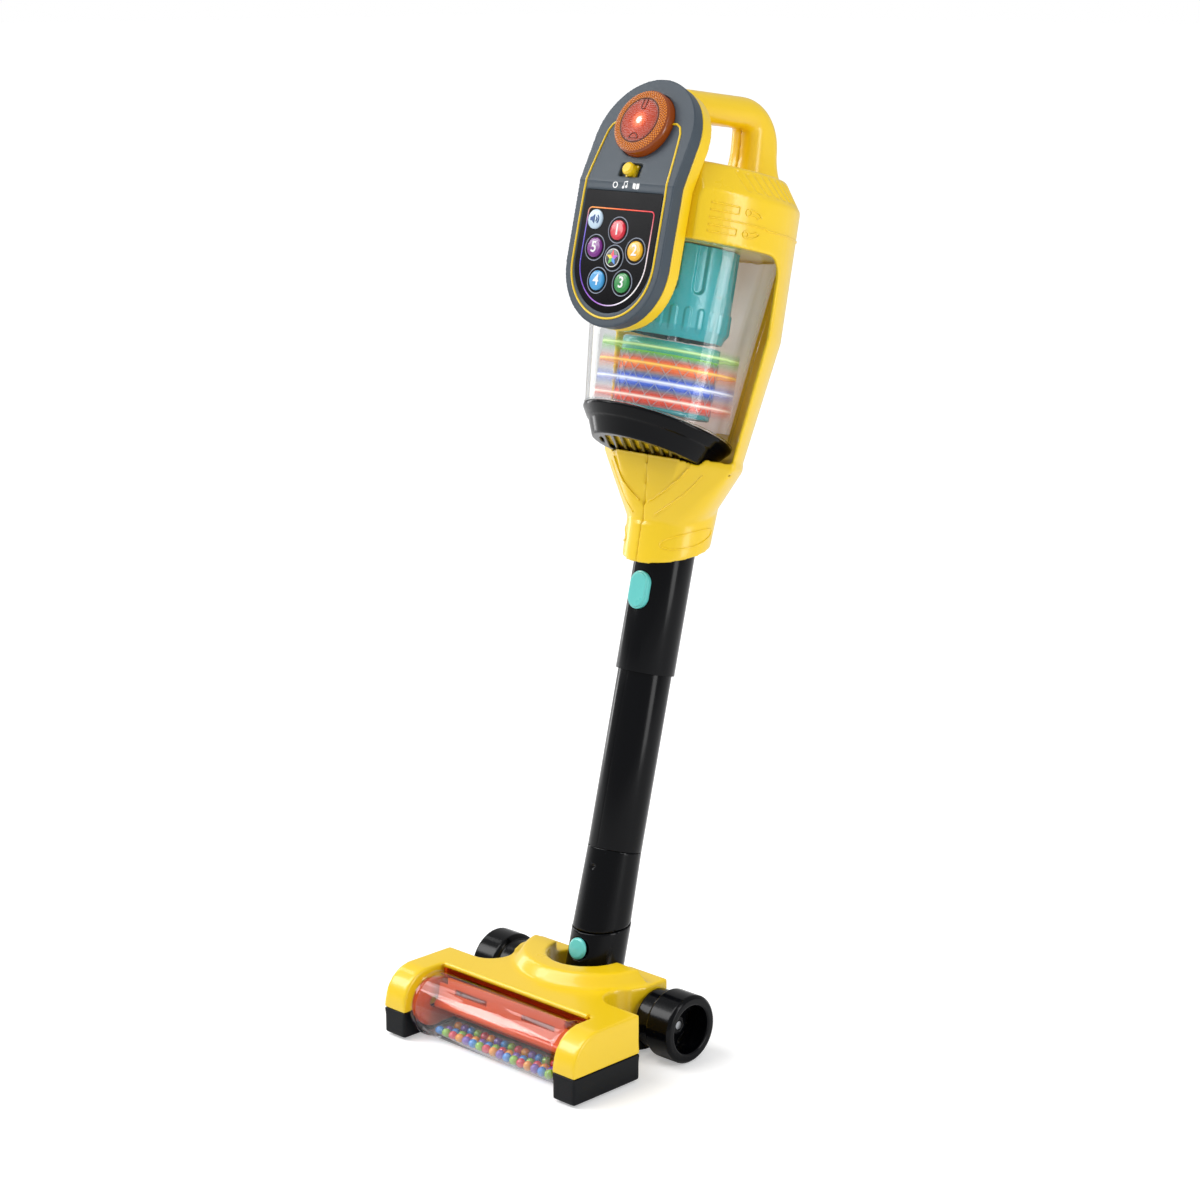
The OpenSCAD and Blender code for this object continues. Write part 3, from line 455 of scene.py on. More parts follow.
def swept_tree():
    """Geometry Nodes tree that sweeps a round bar along lines and keeps how far along each point lies."""
    tree = bpy.data.node_groups.get("Swept trim")
    if tree:
        return tree
    tree = bpy.data.node_groups.new("Swept trim", "GeometryNodeTree")
    group_socket(tree, "Geometry", "NodeSocketGeometry")
    group_socket(tree, "Radius", "NodeSocketFloat", default=0.0005)
    group_socket(tree, "Sides", "NodeSocketInt", default=10)
    group_socket(tree, "Material", "NodeSocketMaterial")
    group_socket(tree, "Geometry", "NodeSocketGeometry", out=True)
    new = tree.nodes.new
    source = new("NodeGroupInput")
    curve, ring = new("GeometryNodeMeshToCurve"), new("GeometryNodeCurvePrimitiveCircle")
    sweep = new("GeometryNodeCurveToMesh")
    keep, place = new("GeometryNodeStoreNamedAttribute"), new("GeometryNodeSplineParameter")
    keep.data_type = "FLOAT"
    keep.domain = "POINT"
    keep.inputs["Name"].default_value = "along"
    sweep.inputs["Fill Caps"].default_value = True
    wire(
        tree,
        (source.outputs["Geometry"], curve.inputs["Mesh"]),
        (curve.outputs["Curve"], keep.inputs["Geometry"]),
        (place.outputs["Factor"], keep.inputs["Value"]),
        (keep.outputs["Geometry"], sweep.inputs["Curve"]),
        (source.outputs["Sides"], ring.inputs["Resolution"]),
        (source.outputs["Radius"], ring.inputs["Radius"]),
        (ring.outputs["Curve"], sweep.inputs["Profile Curve"]),
    )
    end_tree(tree, source, sweep.outputs["Mesh"])
    return tree


def lattice_tree():
    """Geometry Nodes tree of crossed helical bars around an axis."""
    tree = bpy.data.node_groups.new("Mesh lattice", "GeometryNodeTree")
    group_socket(tree, "Geometry", "NodeSocketGeometry")
    group_socket(tree, "Radius", "NodeSocketFloat", default=0.0338)
    group_socket(tree, "Height", "NodeSocketFloat", default=0.04)
    group_socket(tree, "Turns", "NodeSocketFloat", default=0.12)
    group_socket(tree, "Count", "NodeSocketInt", default=18)
    group_socket(tree, "Bar Radius", "NodeSocketFloat", default=0.0005)
    group_socket(tree, "Material", "NodeSocketMaterial")
    group_socket(tree, "Geometry", "NodeSocketGeometry", out=True)
    new = tree.nodes.new
    source, join = new("NodeGroupInput"), new("GeometryNodeJoinGeometry")
    ring, sweep = new("GeometryNodeCurvePrimitiveCircle"), new("GeometryNodeCurveToMesh")
    points, instance = new("GeometryNodePoints"), new("GeometryNodeInstanceOnPoints")
    index, step = new("GeometryNodeInputIndex"), new("ShaderNodeMath")
    share, turn = new("ShaderNodeMath"), new("ShaderNodeCombineXYZ")
    ring.inputs["Resolution"].default_value = 6
    step.operation = "DIVIDE"
    share.operation = "MULTIPLY"
    share.inputs[1].default_value = 2 * math.pi
    for reverse in (False, True):
        spiral = new("GeometryNodeCurveSpiral")
        spiral.inputs["Resolution"].default_value = 40
        spiral.inputs["Reverse"].default_value = reverse
        wire(
            tree,
            (source.outputs["Turns"], spiral.inputs["Rotations"]),
            (source.outputs["Radius"], spiral.inputs["Start Radius"]),
            (source.outputs["Radius"], spiral.inputs["End Radius"]),
            (source.outputs["Height"], spiral.inputs["Height"]),
            (spiral.outputs["Curve"], join.inputs["Geometry"]),
        )
    wire(
        tree,
        (source.outputs["Bar Radius"], ring.inputs["Radius"]),
        (join.outputs["Geometry"], sweep.inputs["Curve"]),
        (ring.outputs["Curve"], sweep.inputs["Profile Curve"]),
        (source.outputs["Count"], points.inputs["Count"]),
        (points.outputs["Points"], instance.inputs["Points"]),
        (sweep.outputs["Mesh"], instance.inputs["Instance"]),
        (index.outputs["Index"], step.inputs[0]),
        (source.outputs["Count"], step.inputs[1]),
        (step.outputs["Value"], share.inputs[0]),
        (share.outputs["Value"], turn.inputs["Z"]),
        (turn.outputs["Vector"], instance.inputs["Rotation"]),
    )
    end_tree(tree, source, instance.outputs["Instances"])
    return tree


def run_tree(obj, tree, **values):
    """Applies a Geometry Nodes tree to the object with values for its named inputs."""
    modifier = obj.modifiers.new(tree.name, "NODES")
    modifier.node_group = tree
    names = {item.name: item.identifier for item in tree.interface.items_tree if item.in_out == "INPUT"}
    for label, value in values.items():
        modifier[names[label.replace("_", " ")]] = value
    return baked(obj)


def swept(name, lines, radius, material, sides=10):
    """Bars along lines of scene points; a line whose last point is its first is closed."""
    points, edges = [], []
    for line in lines:
        start = len(points)
        closed = np.allclose(line[0], line[-1])
        kept = line[:-1] if closed else line
        points += [tuple(p) for p in kept]
        edges += [(start + i, start + i + 1) for i in range(len(kept) - 1)]
        if closed:
            edges.append((start + len(kept) - 1, start))
    mesh = bpy.data.meshes.new(name)
    mesh.from_pydata(points, edges, [])
    return run_tree(add_object(name, mesh), swept_tree(), Radius=radius, Sides=sides, Material=material)


def grain_group():
    """Shader group of a moulded skin: uneven colour, uneven gloss and a fine bump."""
    tree = bpy.data.node_groups.get("Moulded skin")
    if tree:
        return tree
    tree = bpy.data.node_groups.new("Moulded skin", "ShaderNodeTree")
    group_socket(tree, "Position", "NodeSocketVector")
    group_socket(tree, "Colour", "NodeSocketColor")
    group_socket(tree, "Variation", "NodeSocketFloat", default=0.06)
    group_socket(tree, "Roughness", "NodeSocketFloat", default=0.3)
    group_socket(tree, "Grain Scale", "NodeSocketFloat", default=900.0)
    group_socket(tree, "Grain Depth", "NodeSocketFloat", default=0.1)
    group_socket(tree, "Colour", "NodeSocketColor", out=True)
    group_socket(tree, "Roughness", "NodeSocketFloat", out=True)
    group_socket(tree, "Normal", "NodeSocketVector", out=True)
    new = tree.nodes.new
    source, end = new("NodeGroupInput"), new("NodeGroupOutput")
    broad, fine, bump = new("ShaderNodeTexNoise"), new("ShaderNodeTexNoise"), new("ShaderNodeBump")
    shade, low = new("ShaderNodeMath"), new("ShaderNodeMath")
    dark, gloss = new("ShaderNodeMix"), new("ShaderNodeMath")
    broad.inputs["Scale"].default_value = 22
    broad.inputs["Detail"].default_value = 4
    fine.inputs["Detail"].default_value = 3
    shade.operation = "MULTIPLY"
    low.operation = "SUBTRACT"
    low.inputs[1].default_value = 0.5
    dark.data_type = "RGBA"
    dark.inputs[7].default_value = (0, 0, 0, 1)
    gloss.operation = "MULTIPLY_ADD"
    gloss.inputs[1].default_value = 0.16
    bump.inputs["Distance"].default_value = 0.0003
    wire(
        tree,
        (source.outputs["Position"], broad.inputs["Vector"]),
        (source.outputs["Position"], fine.inputs["Vector"]),
        (source.outputs["Grain Scale"], fine.inputs["Scale"]),
        (broad.outputs["Fac"], shade.inputs[0]),
        (source.outputs["Variation"], shade.inputs[1]),
        (shade.outputs["Value"], dark.inputs[0]),
        (source.outputs["Colour"], dark.inputs[6]),
        (broad.outputs["Fac"], low.inputs[0]),
        (low.outputs["Value"], gloss.inputs[0]),
        (source.outputs["Roughness"], gloss.inputs[2]),
        (fine.outputs["Fac"], bump.inputs["Height"]),
        (source.outputs["Grain Depth"], bump.inputs["Strength"]),
        (dark.outputs[2], end.inputs["Colour"]),
        (gloss.outputs["Value"], end.inputs["Roughness"]),
        (bump.outputs["Normal"], end.inputs["Normal"]),
    )
    return tree


def blank_material(name):
    """A new node material and its Principled shader."""
    material = bpy.data.materials.new(name)
    material.use_nodes = True
    return material, material.node_tree, material.node_tree.nodes["Principled BSDF"]


def set_values(node, values):
    """Sets inputs of a node by their names."""
    for label, value in values.items():
        node.inputs[label].default_value = value


def skinned(tree, shader, colour, roughness, scale, depth, variation):
    """Places the shared skin group in a material with its own values."""
    skin, place = tree.nodes.new("ShaderNodeGroup"), tree.nodes.new("ShaderNodeTexCoord")
    skin.node_tree = grain_group()
    set_values(skin, {"Colour": (*colour, 1), "Variation": variation, "Roughness": roughness})
    set_values(skin, {"Grain Scale": scale, "Grain Depth": depth})
    wire(
        tree,
        (place.outputs["Object"], skin.inputs["Position"]),
        (skin.outputs["Colour"], shader.inputs["Base Color"]),
        (skin.outputs["Normal"], shader.inputs["Normal"]),
    )
    return skin


def plastic(
    name, colour, roughness, scale=900.0, depth=0.06, variation=0.06,
    coat=0.0, metallic=0.0, glow=None, specular=0.5,
):
    """A moulded plastic from the shared skin group; glow adds light of its colour."""
    found = bpy.data.materials.get(name)
    if found:
        return found
    material, tree, shader = blank_material(name)
    skin = skinned(tree, shader, colour, roughness, scale, depth, variation)
    wire(tree, (skin.outputs["Roughness"], shader.inputs["Roughness"]))
    set_values(shader, {"Coat Weight": coat, "Coat Roughness": 0.06})
    set_values(shader, {"Metallic": metallic, "Specular IOR Level": specular})
    if glow is not None:
        set_values(shader, {"Emission Color": (*colour, 1), "Emission Strength": glow})
    return material


def clear_plastic():
    """Clear plastic that lets the light of the lamps through to what is inside."""
    found = bpy.data.materials.get("Clear plastic")
    if found:
        return found
    material, tree, shader = blank_material("Clear plastic")
    path, passed = tree.nodes.new("ShaderNodeLightPath"), tree.nodes.new("ShaderNodeMath")
    clear, mix = tree.nodes.new("ShaderNodeBsdfTransparent"), tree.nodes.new("ShaderNodeMixShader")
    passed.operation = "MAXIMUM"
    skinned(tree, shader, (0.97, 0.985, 0.99), 0.03, 60, 0.0, 0.04)
    set_values(shader, {"Transmission Weight": 1.0, "IOR": 1.03, "Roughness": 0.03})
    set_values(shader, {"Coat Weight": 0.8, "Coat Roughness": 0.04})
    set_values(clear, {"Color": (0.96, 0.97, 0.98, 1)})
    wire(
        tree,
        (path.outputs["Is Shadow Ray"], passed.inputs[0]),
        (path.outputs["Is Diffuse Ray"], passed.inputs[1]),
        (passed.outputs["Value"], mix.inputs[0]),
        (shader.outputs["BSDF"], mix.inputs[1]),
        (clear.outputs["BSDF"], mix.inputs[2]),
        (mix.outputs["Shader"], tree.nodes["Material Output"].inputs["Surface"]),
    )
    return material


def ramp_material(name, stops, glow, fade=None, roughness=0.3):
    """A material whose colour and light run along the piece's own value; fade has stops for its opacity."""
    found = bpy.data.materials.get(name)
    if found:
        return found
    material, tree, shader = blank_material(name)
    value, ramp = tree.nodes.new("ShaderNodeAttribute"), tree.nodes.new("ShaderNodeValToRGB")
    value.attribute_name = "along"
    fill_ramp(ramp.color_ramp, stops)
    set_values(shader, {"Roughness": roughness, "Emission Strength": glow})
    wire(
        tree,
        (value.outputs["Fac"], ramp.inputs["Fac"]),
        (ramp.outputs["Color"], shader.inputs["Base Color"]),
        (ramp.outputs["Color"], shader.inputs["Emission Color"]),
    )
    if fade:
        opacity = tree.nodes.new("ShaderNodeValToRGB")
        fill_ramp(opacity.color_ramp, [(at, (level,) * 3) for at, level in fade])
        wire(
            tree,
            (value.outputs["Fac"], opacity.inputs["Fac"]),
            (opacity.outputs["Color"], shader.inputs["Alpha"]),
        )
    return material


def fill_ramp(ramp, stops):
    """Sets the stops of a colour ramp."""
    while len(ramp.elements) > 1:
        ramp.elements.remove(ramp.elements[-1])
    for index, (at, colour) in enumerate(stops):
        element = ramp.elements[0] if index == 0 else ramp.elements.new(at)
        element.position = at
        element.color = (*colour, 1)


def toned(stops):
    """Stops of a ramp with their colours as linear values."""
    return [(at, srgb(value)) for at, value in stops]


def tinted():
    """The colours that the panel of this add-on shows."""
    return bpy.context.scene.vacuum_finish


def sized():
    """The sizes that the panel of this add-on shows."""
    return bpy.context.scene.vacuum_sizes


def yellow():
    """Yellow moulded plastic."""
    return plastic(
        "Yellow plastic", tinted().yellow,
        roughness=0.3, scale=260, depth=0.05, variation=0.05, coat=0.25,
    )


def gloss_black():
    """Polished black plastic."""
    return plastic(
        "Gloss black", tinted().gloss_black,
        roughness=0.16, scale=120, depth=0.01, variation=0.2, specular=0.17,
    )


def satin_black():
    """Black plastic with a fine grain."""
    return plastic(
        "Satin black", tinted().satin_black,
        roughness=0.38, scale=1400, depth=0.1, variation=0.2, specular=0.18,
    )


def slate():
    """Slate plastic with a fine spark-eroded grain."""
    return plastic(
        "Slate plastic", tinted().slate,
        roughness=0.4, scale=1500, depth=0.2, variation=0.1, specular=0.35,
    )


def orange():
    """Orange plastic of the drum's inside."""
    return plastic("Orange plastic", tinted().orange, roughness=0.32, scale=400, depth=0.05, variation=0.1)


def white():
    """White print and plastic."""
    return plastic("White plastic", srgb(0xF2F3F3), roughness=0.35, scale=800, depth=0.03, variation=0.03)


def steel():
    """Drawn steel of the axles and screws."""
    return plastic(
        "Steel", srgb(0xB9BCC0),
        roughness=0.28, scale=2200, depth=0.12, variation=0.12, metallic=1.0,
    )


def paint_node(node, material):
    """Puts a material on a CAD node that stays as it is."""
    CAD[node].data.materials.clear()
    CAD[node].data.materials.append(material)


class VACUUM_OT_stage(bpy.types.Operator):
    """Makes the floor, the light and the camera"""

    bl_idname = "vacuum.stage"
    bl_label = "Stage"

    def execute(self, context):
        scene = context.scene
        scene.view_settings.view_transform = "Standard"
        self.floor()
        self.sky(scene)
        self.lamps(scene)
        data = bpy.data.cameras.new("Camera")
        data.lens = CAMERA_LENS
        data.sensor_width = CAMERA_SENSOR
        camera = bpy.data.objects.new("Camera", data)
        turn = Matrix((CAMERA_RIGHT, CAMERA_UP, -CAMERA_AHEAD)).transposed().to_4x4()
        camera.matrix_world = Matrix.Translation(CAMERA_PLACE) @ turn
        scene.collection.objects.link(camera)
        scene.camera = camera
        return {"FINISHED"}

    def floor(self):
        """A white floor that keeps the shadow; it glows a little for the camera alone."""
        mesh = bpy.data.meshes.new("Floor")
        reach = 30
        glow = 0.34
        corners = [(-reach, -reach, 0), (reach, -reach, 0), (reach, reach, 0), (-reach, reach, 0)]
        mesh.from_pydata(corners, [], [(0, 1, 2, 3)])
        paint = plastic(
            "Studio floor", (0.86, 0.86, 0.865),
            roughness=0.6, scale=40, depth=0.0, variation=0.02, specular=0.1,
        )
        tree = paint.node_tree
        path, level = tree.nodes.new("ShaderNodeLightPath"), tree.nodes.new("ShaderNodeMath")
        shader = tree.nodes["Principled BSDF"]
        level.operation = "MULTIPLY"
        level.inputs[1].default_value = glow
        shader.inputs["Emission Color"].default_value = (1, 1, 1, 1)
        wire(
            tree,
            (path.outputs["Is Camera Ray"], level.inputs[0]),
            (level.outputs["Value"], shader.inputs["Emission Strength"]),
        )
        add_object("Floor", mesh, paint)

    def sky(self, scene):
        """A white surround, brighter where it is seen straight or through clear plastic."""
        world = bpy.data.worlds.new("Studio")
        world.use_nodes = True
        tree = world.node_tree
        light, path = tree.nodes["Background"], tree.nodes.new("ShaderNodeLightPath")
        seen, level = tree.nodes.new("ShaderNodeMath"), tree.nodes.new("ShaderNodeMapRange")
        light.inputs["Color"].default_value = (1, 1, 1, 1)
        seen.operation = "MAXIMUM"
        set_values(level, {"To Min": 0.5, "To Max": 1.0})
        wire(
            tree,
            (path.outputs["Is Camera Ray"], seen.inputs[0]),
            (path.outputs["Is Transmission Ray"], seen.inputs[1]),
            (seen.outputs["Value"], level.inputs["Value"]),
            (level.outputs["Result"], light.inputs["Strength"]),
        )
        scene.world = world

    def lamps(self, scene):
        """Three soft panels with place, width, height and watts, and a broad sun overhead."""
        target = Vector((0, 0.06, 0.36))
        soft = [
            ("Key", (-1.9, -1.45, 1.65), 1.1, 0.9, 24),
            ("Side panel", (2.0, 0.15, 0.9), 0.6, 2.0, 20),
            ("Left strip", (-1.6, 0.1, 0.7), 0.3, 1.6, 6),
        ]
        for name, place, width, height, power in soft:
            data = bpy.data.lights.new(name, "AREA")
            data.shape = "RECTANGLE"
            data.size, data.size_y = width, height
            data.energy = power
            lamp = bpy.data.objects.new(name, data)
            back = (Vector(place) - target).normalized()
            across = Vector((0, 0, 1)).cross(back).normalized()
            turn = Matrix((across, back.cross(across), back)).transposed().to_4x4()
            lamp.matrix_world = Matrix.Translation(place) @ turn
            scene.collection.objects.link(lamp)
        data = bpy.data.lights.new("Overhead", "SUN")
        data.energy = 1.35
        data.angle = math.radians(35)
        sun = bpy.data.objects.new("Overhead", data)
        sun.rotation_euler = (math.radians(24), math.radians(-22), 0)
        scene.collection.objects.link(sun)


class VACUUM_OT_head(bpy.types.Operator):
    """Makes the cover and the base of the floor head with their fittings"""

    bl_idname = "vacuum.head"
    bl_label = "Head"

    def execute(self, context):
        voxel = sized().head_voxel
        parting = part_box("head_base")[1].z

        def away(places):
            """How far a place is from the line between cover and base, as a weight."""
            return np.clip((np.abs(places[:, 2] - parting) / MM - 2) / 4, 0, 1)

        moulded("head_cover", voxel, 4, yellow(), "yellow_plastic", soften=(away, 16))
        moulded("head_base", voxel, 3, satin_black(), "black_base", soften=(away, 16))
        low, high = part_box("drum_cradle")
        lip, lip_height, lip_radius, inset = -0.0735, 0.0478, 0.0021, 0.003
        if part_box("head_cover")[1].z < lip_height:
            raise RuntimeError("the lip lies above the cover")
        line = [(x, lip, lip_height) for x in np.linspace(low.x + inset, high.x - inset, 40)]
        bead = swept("cover_lip", [line], lip_radius, yellow(), 14)
        settle(bead, "head", "yellow_plastic")
        for node in ("base_screws", "wheel_axle"):
            eased(node, FINE_EDGE, steel(), "steel")
        eased("axle_caps", AXLE_CAP_EDGE, gloss_black(), "black_gloss")
        eased("drum_cradle", EDGE, orange(), "orange_plastic")
        return {"FINISHED"}


BEAD_COLOURS = {"blue": 0x2F8FE0, "pink": 0xD81F4A, "purple": 0x7A55B8, "lime": 0x8CC63A, "amber": 0xF29A1E}


class VACUUM_OT_drum(bpy.types.Operator):
    """Makes the clear drum with its paddle and beads"""

    bl_idname = "vacuum.drum"
    bl_label = "Drum"

    def execute(self, context):
        clear = clear_plastic()
        eased("drum_shell", FINE_EDGE, clear, "clear_plastic")
        eased("drum_paddle", EDGE, orange(), "orange_plastic")
        for label, value in BEAD_COLOURS.items():
            bead = plastic(
                f"Bead {label}", srgb(value),
                roughness=0.22, scale=300, depth=0.02, variation=0.05, coat=0.4,
            )
            smooth = eased(f"beads_{label}", UNBEVELLED, bead, f"bead_{label}", 60)
            smooth.name = f"beads_{label}_smooth"
        return {"FINISHED"}


class VACUUM_OT_wheels(bpy.types.Operator):
    """Makes the two wheels"""

    bl_idname = "vacuum.wheels"
    bl_label = "Wheels"

    def execute(self, context):
        for node in ("wheel_left", "wheel_right"):
            moulded(node, VOXELS[node], 3, gloss_black(), "black_gloss")
        return {"FINISHED"}


class VACUUM_OT_stick(bpy.types.Operator):
    """Makes the elbow, the wand and the release buttons"""

    bl_idname = "vacuum.stick"
    bl_label = "Stick"

    def execute(self, context):
        for node in ("elbow", "connector"):
            moulded(node, VOXELS[node], 3, gloss_black(), "black_gloss")
        for node in ("lower_tube_left", "lower_tube_right", "sleeve_left", "sleeve_right"):
            eased(node, TUBE_EDGE, gloss_black(), "black_gloss")
        teal = plastic(
            "Button teal", tinted().button_teal,
            roughness=0.28, scale=500, depth=0.03, variation=0.05, coat=0.3,
        )
        for node in ("elbow_button", "sleeve_button"):
            moulded(node, VOXELS[node], 4, teal, "teal_button")
        return {"FINISHED"}


# Outer radius of the rear shell and the shoulder by height along the stick, in millimetres
SHELL_LEVELS = (384.5, 475, 565, 584)
SHELL_RADII = (62, 74, 72, 59)
OUTLINE_PROUD = 0.15

# Half width of the neck's facet and of the line beside it by height along the stick, in millimetres
NECK_LEVELS = (349.5, 355, 362.5, 371, 377.5, 384)
NECK_HALVES = (0, 10, 20.5, 29, 34, 38.5)
BESIDE_LEVELS = (340, 348.5, 359.5, 368.5, 376)
BESIDE_HALVES = (6, 17, 29, 37, 43)

# The neck's thin wall: where it is thickened, in millimetres, and how deep the blocks lie, in metres
LINING_LEVELS = np.arange(364, 384, 1.5)
LINING_PLACES = np.arange(28, 64, 1.5)
LINING_DEPTHS = (0.0004, 0.0026)

# A place well in front of the stick, from which rays find the neck, in millimetres
IN_FRONT = -150


def on_shell(turn, height):
    """A scene point just proud of the shell at an angle from the front and a height along the stick."""
    radius = float(np.interp(height, SHELL_LEVELS, SHELL_RADII)) + OUTLINE_PROUD
    t = math.radians(turn)
    return local(CAN, [(radius * math.sin(t), -radius * math.cos(t), height)])[0]


def on_neck(tree, x, height):
    """A scene point on the front of the neck at a place across and a height along the stick."""
    start = Vector(local(STICK, [(x, IN_FRONT, height)])[0])
    place = tree.ray_cast(start, BEHIND)[0]
    if place is None:
        raise RuntimeError("no neck where its lines run")
    return np.array(place)


class VACUUM_OT_housing(bpy.types.Operator):
    """Makes the two housing halves with their raised outlines and slots"""

    bl_idname = "vacuum.housing"
    bl_label = "Housing"

    def execute(self, context):
        softened = (self.grip, 30)
        for node in ("housing_left", "housing_right"):
            moulded(node, sized().voxel, 4, yellow(), "yellow_plastic", self.relief, softened, self.lining)
        eased("battery_door", EDGE, yellow(), "yellow_plastic")
        eased("housing_screws", FINE_EDGE, steel(), "steel")
        ridges = swept("housing_outlines", self.outlines(), sized().ridge, yellow())
        settle(ridges, "hand_unit", "yellow_plastic")
        dark = plastic("Battery tray", srgb(0x2B2D30), roughness=0.5, scale=900, depth=0.1, variation=0.1)
        paint_node("battery_tray", dark)
        paint_node("speaker", dark)
        paint_node("batteries", plastic(
            "Battery sleeve", srgb(0xC86A1C),
            roughness=0.3, scale=700, depth=0.05, variation=0.1,
        ))
        return {"FINISHED"}

    def lining(self, node, shape):
        """Adds blocks behind the neck's slanted front, whose wall is too thin for the voxel grid."""
        tree = BVHTree.FromBMesh(shape)
        side = 1 if node == "housing_right" else -1
        pairs = {}
        for row, height in enumerate(LINING_LEVELS):
            for column, x in enumerate(LINING_PLACES):
                start = Vector(local(STICK, [(side * x, IN_FRONT, height)])[0])
                place, normal = tree.ray_cast(start, BEHIND)[:2]
                if place is None or normal.dot(BEHIND) > -0.1:
                    continue
                if into(STICK, np.array([place]))[0, 1] < -1:
                    pairs[row, column] = [place - normal * depth for depth in LINING_DEPTHS]
        added = []
        for row, column in pairs:
            around = [(row, column), (row, column + 1), (row + 1, column + 1), (row + 1, column)]
            if all(key in pairs for key in around):
                ends = [[shape.verts.new(pairs[key][end]) for key in around] for end in (0, 1)]
                top, foot = ends
                sides = [[top[i], foot[i], foot[(i + 1) % 4], top[(i + 1) % 4]] for i in range(4)]
                added += [shape.faces.new(corners) for corners in (top, foot[::-1], *sides)]
        bmesh.ops.recalc_face_normals(shape, faces=added)

    def relief(self, places, normals):
        """Moves in millimetres that sink the roof's slots and neck's facet and flare the handle's foot."""
        depth = self.slots(places, normals) + self.facet(places, normals)
        return normals * depth[:, None] + self.flare(places)

    def grip(self, places):
        """How much of the handle is softened: all of it but the seam."""
        points = into(HANDLE, places)
        return np.clip((points[:, 2] - 14) / 6, 0, 1) * np.clip((np.abs(points[:, 0]) - 2) / 3, 0, 1)

    def flare(self, places):
        """Moves away from the middle of the leg, growing towards the roof."""
        points = into(HANDLE, places)
        x, y, z = points[:, 0], points[:, 1], points[:, 2]
        half, front, back, roof = 17, -32, 16, 11
        start, run, share, middle = 36, 24, 0.32, -5
        leg = (np.abs(x) < half) & (y > front) & (y < back) & (z > roof)
        growth = np.where(leg, share * np.clip((start - z) / run, 0, 1) ** 2, 0)
        moves = np.stack([x * growth, (y - middle) * growth, np.zeros(len(x))], axis=1)
        return moves @ np.array(HANDLE.to_3x3()).T

    def facet(self, places, normals):
        """Depth of the facet between the two slanted lines on the front of the neck."""
        points = into(STICK, places)
        x, y, z = points[:, 0], points[:, 1], points[:, 2]
        ahead = normals @ np.array(-BEHIND) > 0.3
        inside = np.interp(z, NECK_LEVELS, NECK_HALVES) - np.abs(x)
        front = ahead & (y < -18) & (z > 348) & (z < NECK_LEVELS[-1])
        depth, slope = 0.9, 1.2
        return np.where(front, -depth * np.clip(inside / slope, 0, 1), 0)

    def slots(self, places, normals):
        """Depth of the slanted slots in the roof's cone, at the back of each side."""
        points = into(CAN, places)
        x, y, z = points[:, 0], points[:, 1], points[:, 2]
        radius = np.hypot(x, y)
        turn = np.degrees(np.arctan2(np.abs(x), -y))
        outer = into(CAN, places + normals * MM)
        outward = np.hypot(outer[:, 0], outer[:, 1]) - radius > 0.2
        middle, first, pitch, slant = 575, 68, 7.0, 0.55
        depth, half, edge = 1.1, 2.1, 0.9
        cone = (z > 566.5) & (z < 583.5) & outward & (radius > 58)
        run = turn + (z - middle) * slant
        near = np.abs((run - first) / pitch - np.round((run - first) / pitch)) * pitch
        inside = cone & (run > 64) & (run < 136) & (np.abs(z - middle) < 6.2)
        return np.where(inside, -depth * np.clip((half - near) / edge, 0, 1), 0)

    def outlines(self):
        """Lines of the shoulder's slots, rings and crescents, the collar's ovals and the neck's facet."""
        lines = []
        around = np.linspace(0, 2 * math.pi, 25)
        arc = np.linspace(-0.15, 1.1, 12)
        facet_levels = np.linspace(352, 379, 28)
        beside_levels = np.linspace(343, 376, 30)
        for side in (-1, 1):
            for low, high in ((537.2, 541.6), (551.6, 556.4)):
                lines.append(self.path(side, [(50, low), (66, low), (66, high), (50, high)], closed=False))
                centre = (low + high) / 2
                ring = [(71.6 + 1.7 * math.cos(t), centre + 2.1 * math.sin(t)) for t in around]
                lines.append(self.path(side, ring))
            for sign, centre in ((1, 554.0), (-1, 539.4)):
                outer, inner = (
                    [(74 + wide * math.sin(t), centre - sign * (4.2 - tall * math.cos(t))) for t in arc]
                    for wide, tall in ((7.2, 6.2), (4.4, 3.2))
                )
                lines.append(self.path(side, [*outer, *inner[::-1], outer[0]]))
            belt = [(50, 546.4), (84, 546.4), (86, 545.2), (150, 545.2)]
            lines.append(self.path(side, belt, closed=False))
            lines.append(self.oval(side))
            mesh = CAD["housing_right" if side > 0 else "housing_left"].data
            faces = [tuple(face.vertices) for face in mesh.polygons]
            tree = BVHTree.FromPolygons([point.co for point in mesh.vertices], faces)
            for levels, *half in (
                (facet_levels, NECK_LEVELS, NECK_HALVES),
                (beside_levels, BESIDE_LEVELS, BESIDE_HALVES),
            ):
                places = zip(np.interp(levels, *half), levels)
                lines.append([on_neck(tree, side * x, height) for x, height in places])
        return lines

    def path(self, side, corners, closed=True):
        """A line over the shell through corners given as angle and height, in steps that follow its curve."""
        points = []
        for (turn, height), (turn_after, height_after) in zip(corners, corners[1:]):
            steps = max(1, int(abs(turn_after - turn) / 1.5))
            for share in np.linspace(0, 1, steps, endpoint=False):
                angle = turn + (turn_after - turn) * share
                points.append(on_shell(side * angle, height + (height_after - height) * share))
        points.append(points[0] if closed else on_shell(side * corners[-1][0], corners[-1][1]))
        return points

    def oval(self, side):
        """The long oval on the side of the collar."""
        middle, spread, level, half, reach = 72, 40, 334, 5.4, 30.6
        slope = math.tan(math.radians(21))
        points = []
        for t in np.linspace(0, 2 * math.pi, 49):
            turn = math.radians(middle + spread * math.cos(t))
            back = -reach * math.cos(turn)
            height = level + back * slope + half * math.sin(t)
            radius = np.interp(height, [300, 368], [29.4, 32.0])
            place = (side * radius * math.sin(turn), -radius * math.cos(turn), height)
            points.append(local(STICK, [place])[0])
        points[-1] = points[0]
        return points


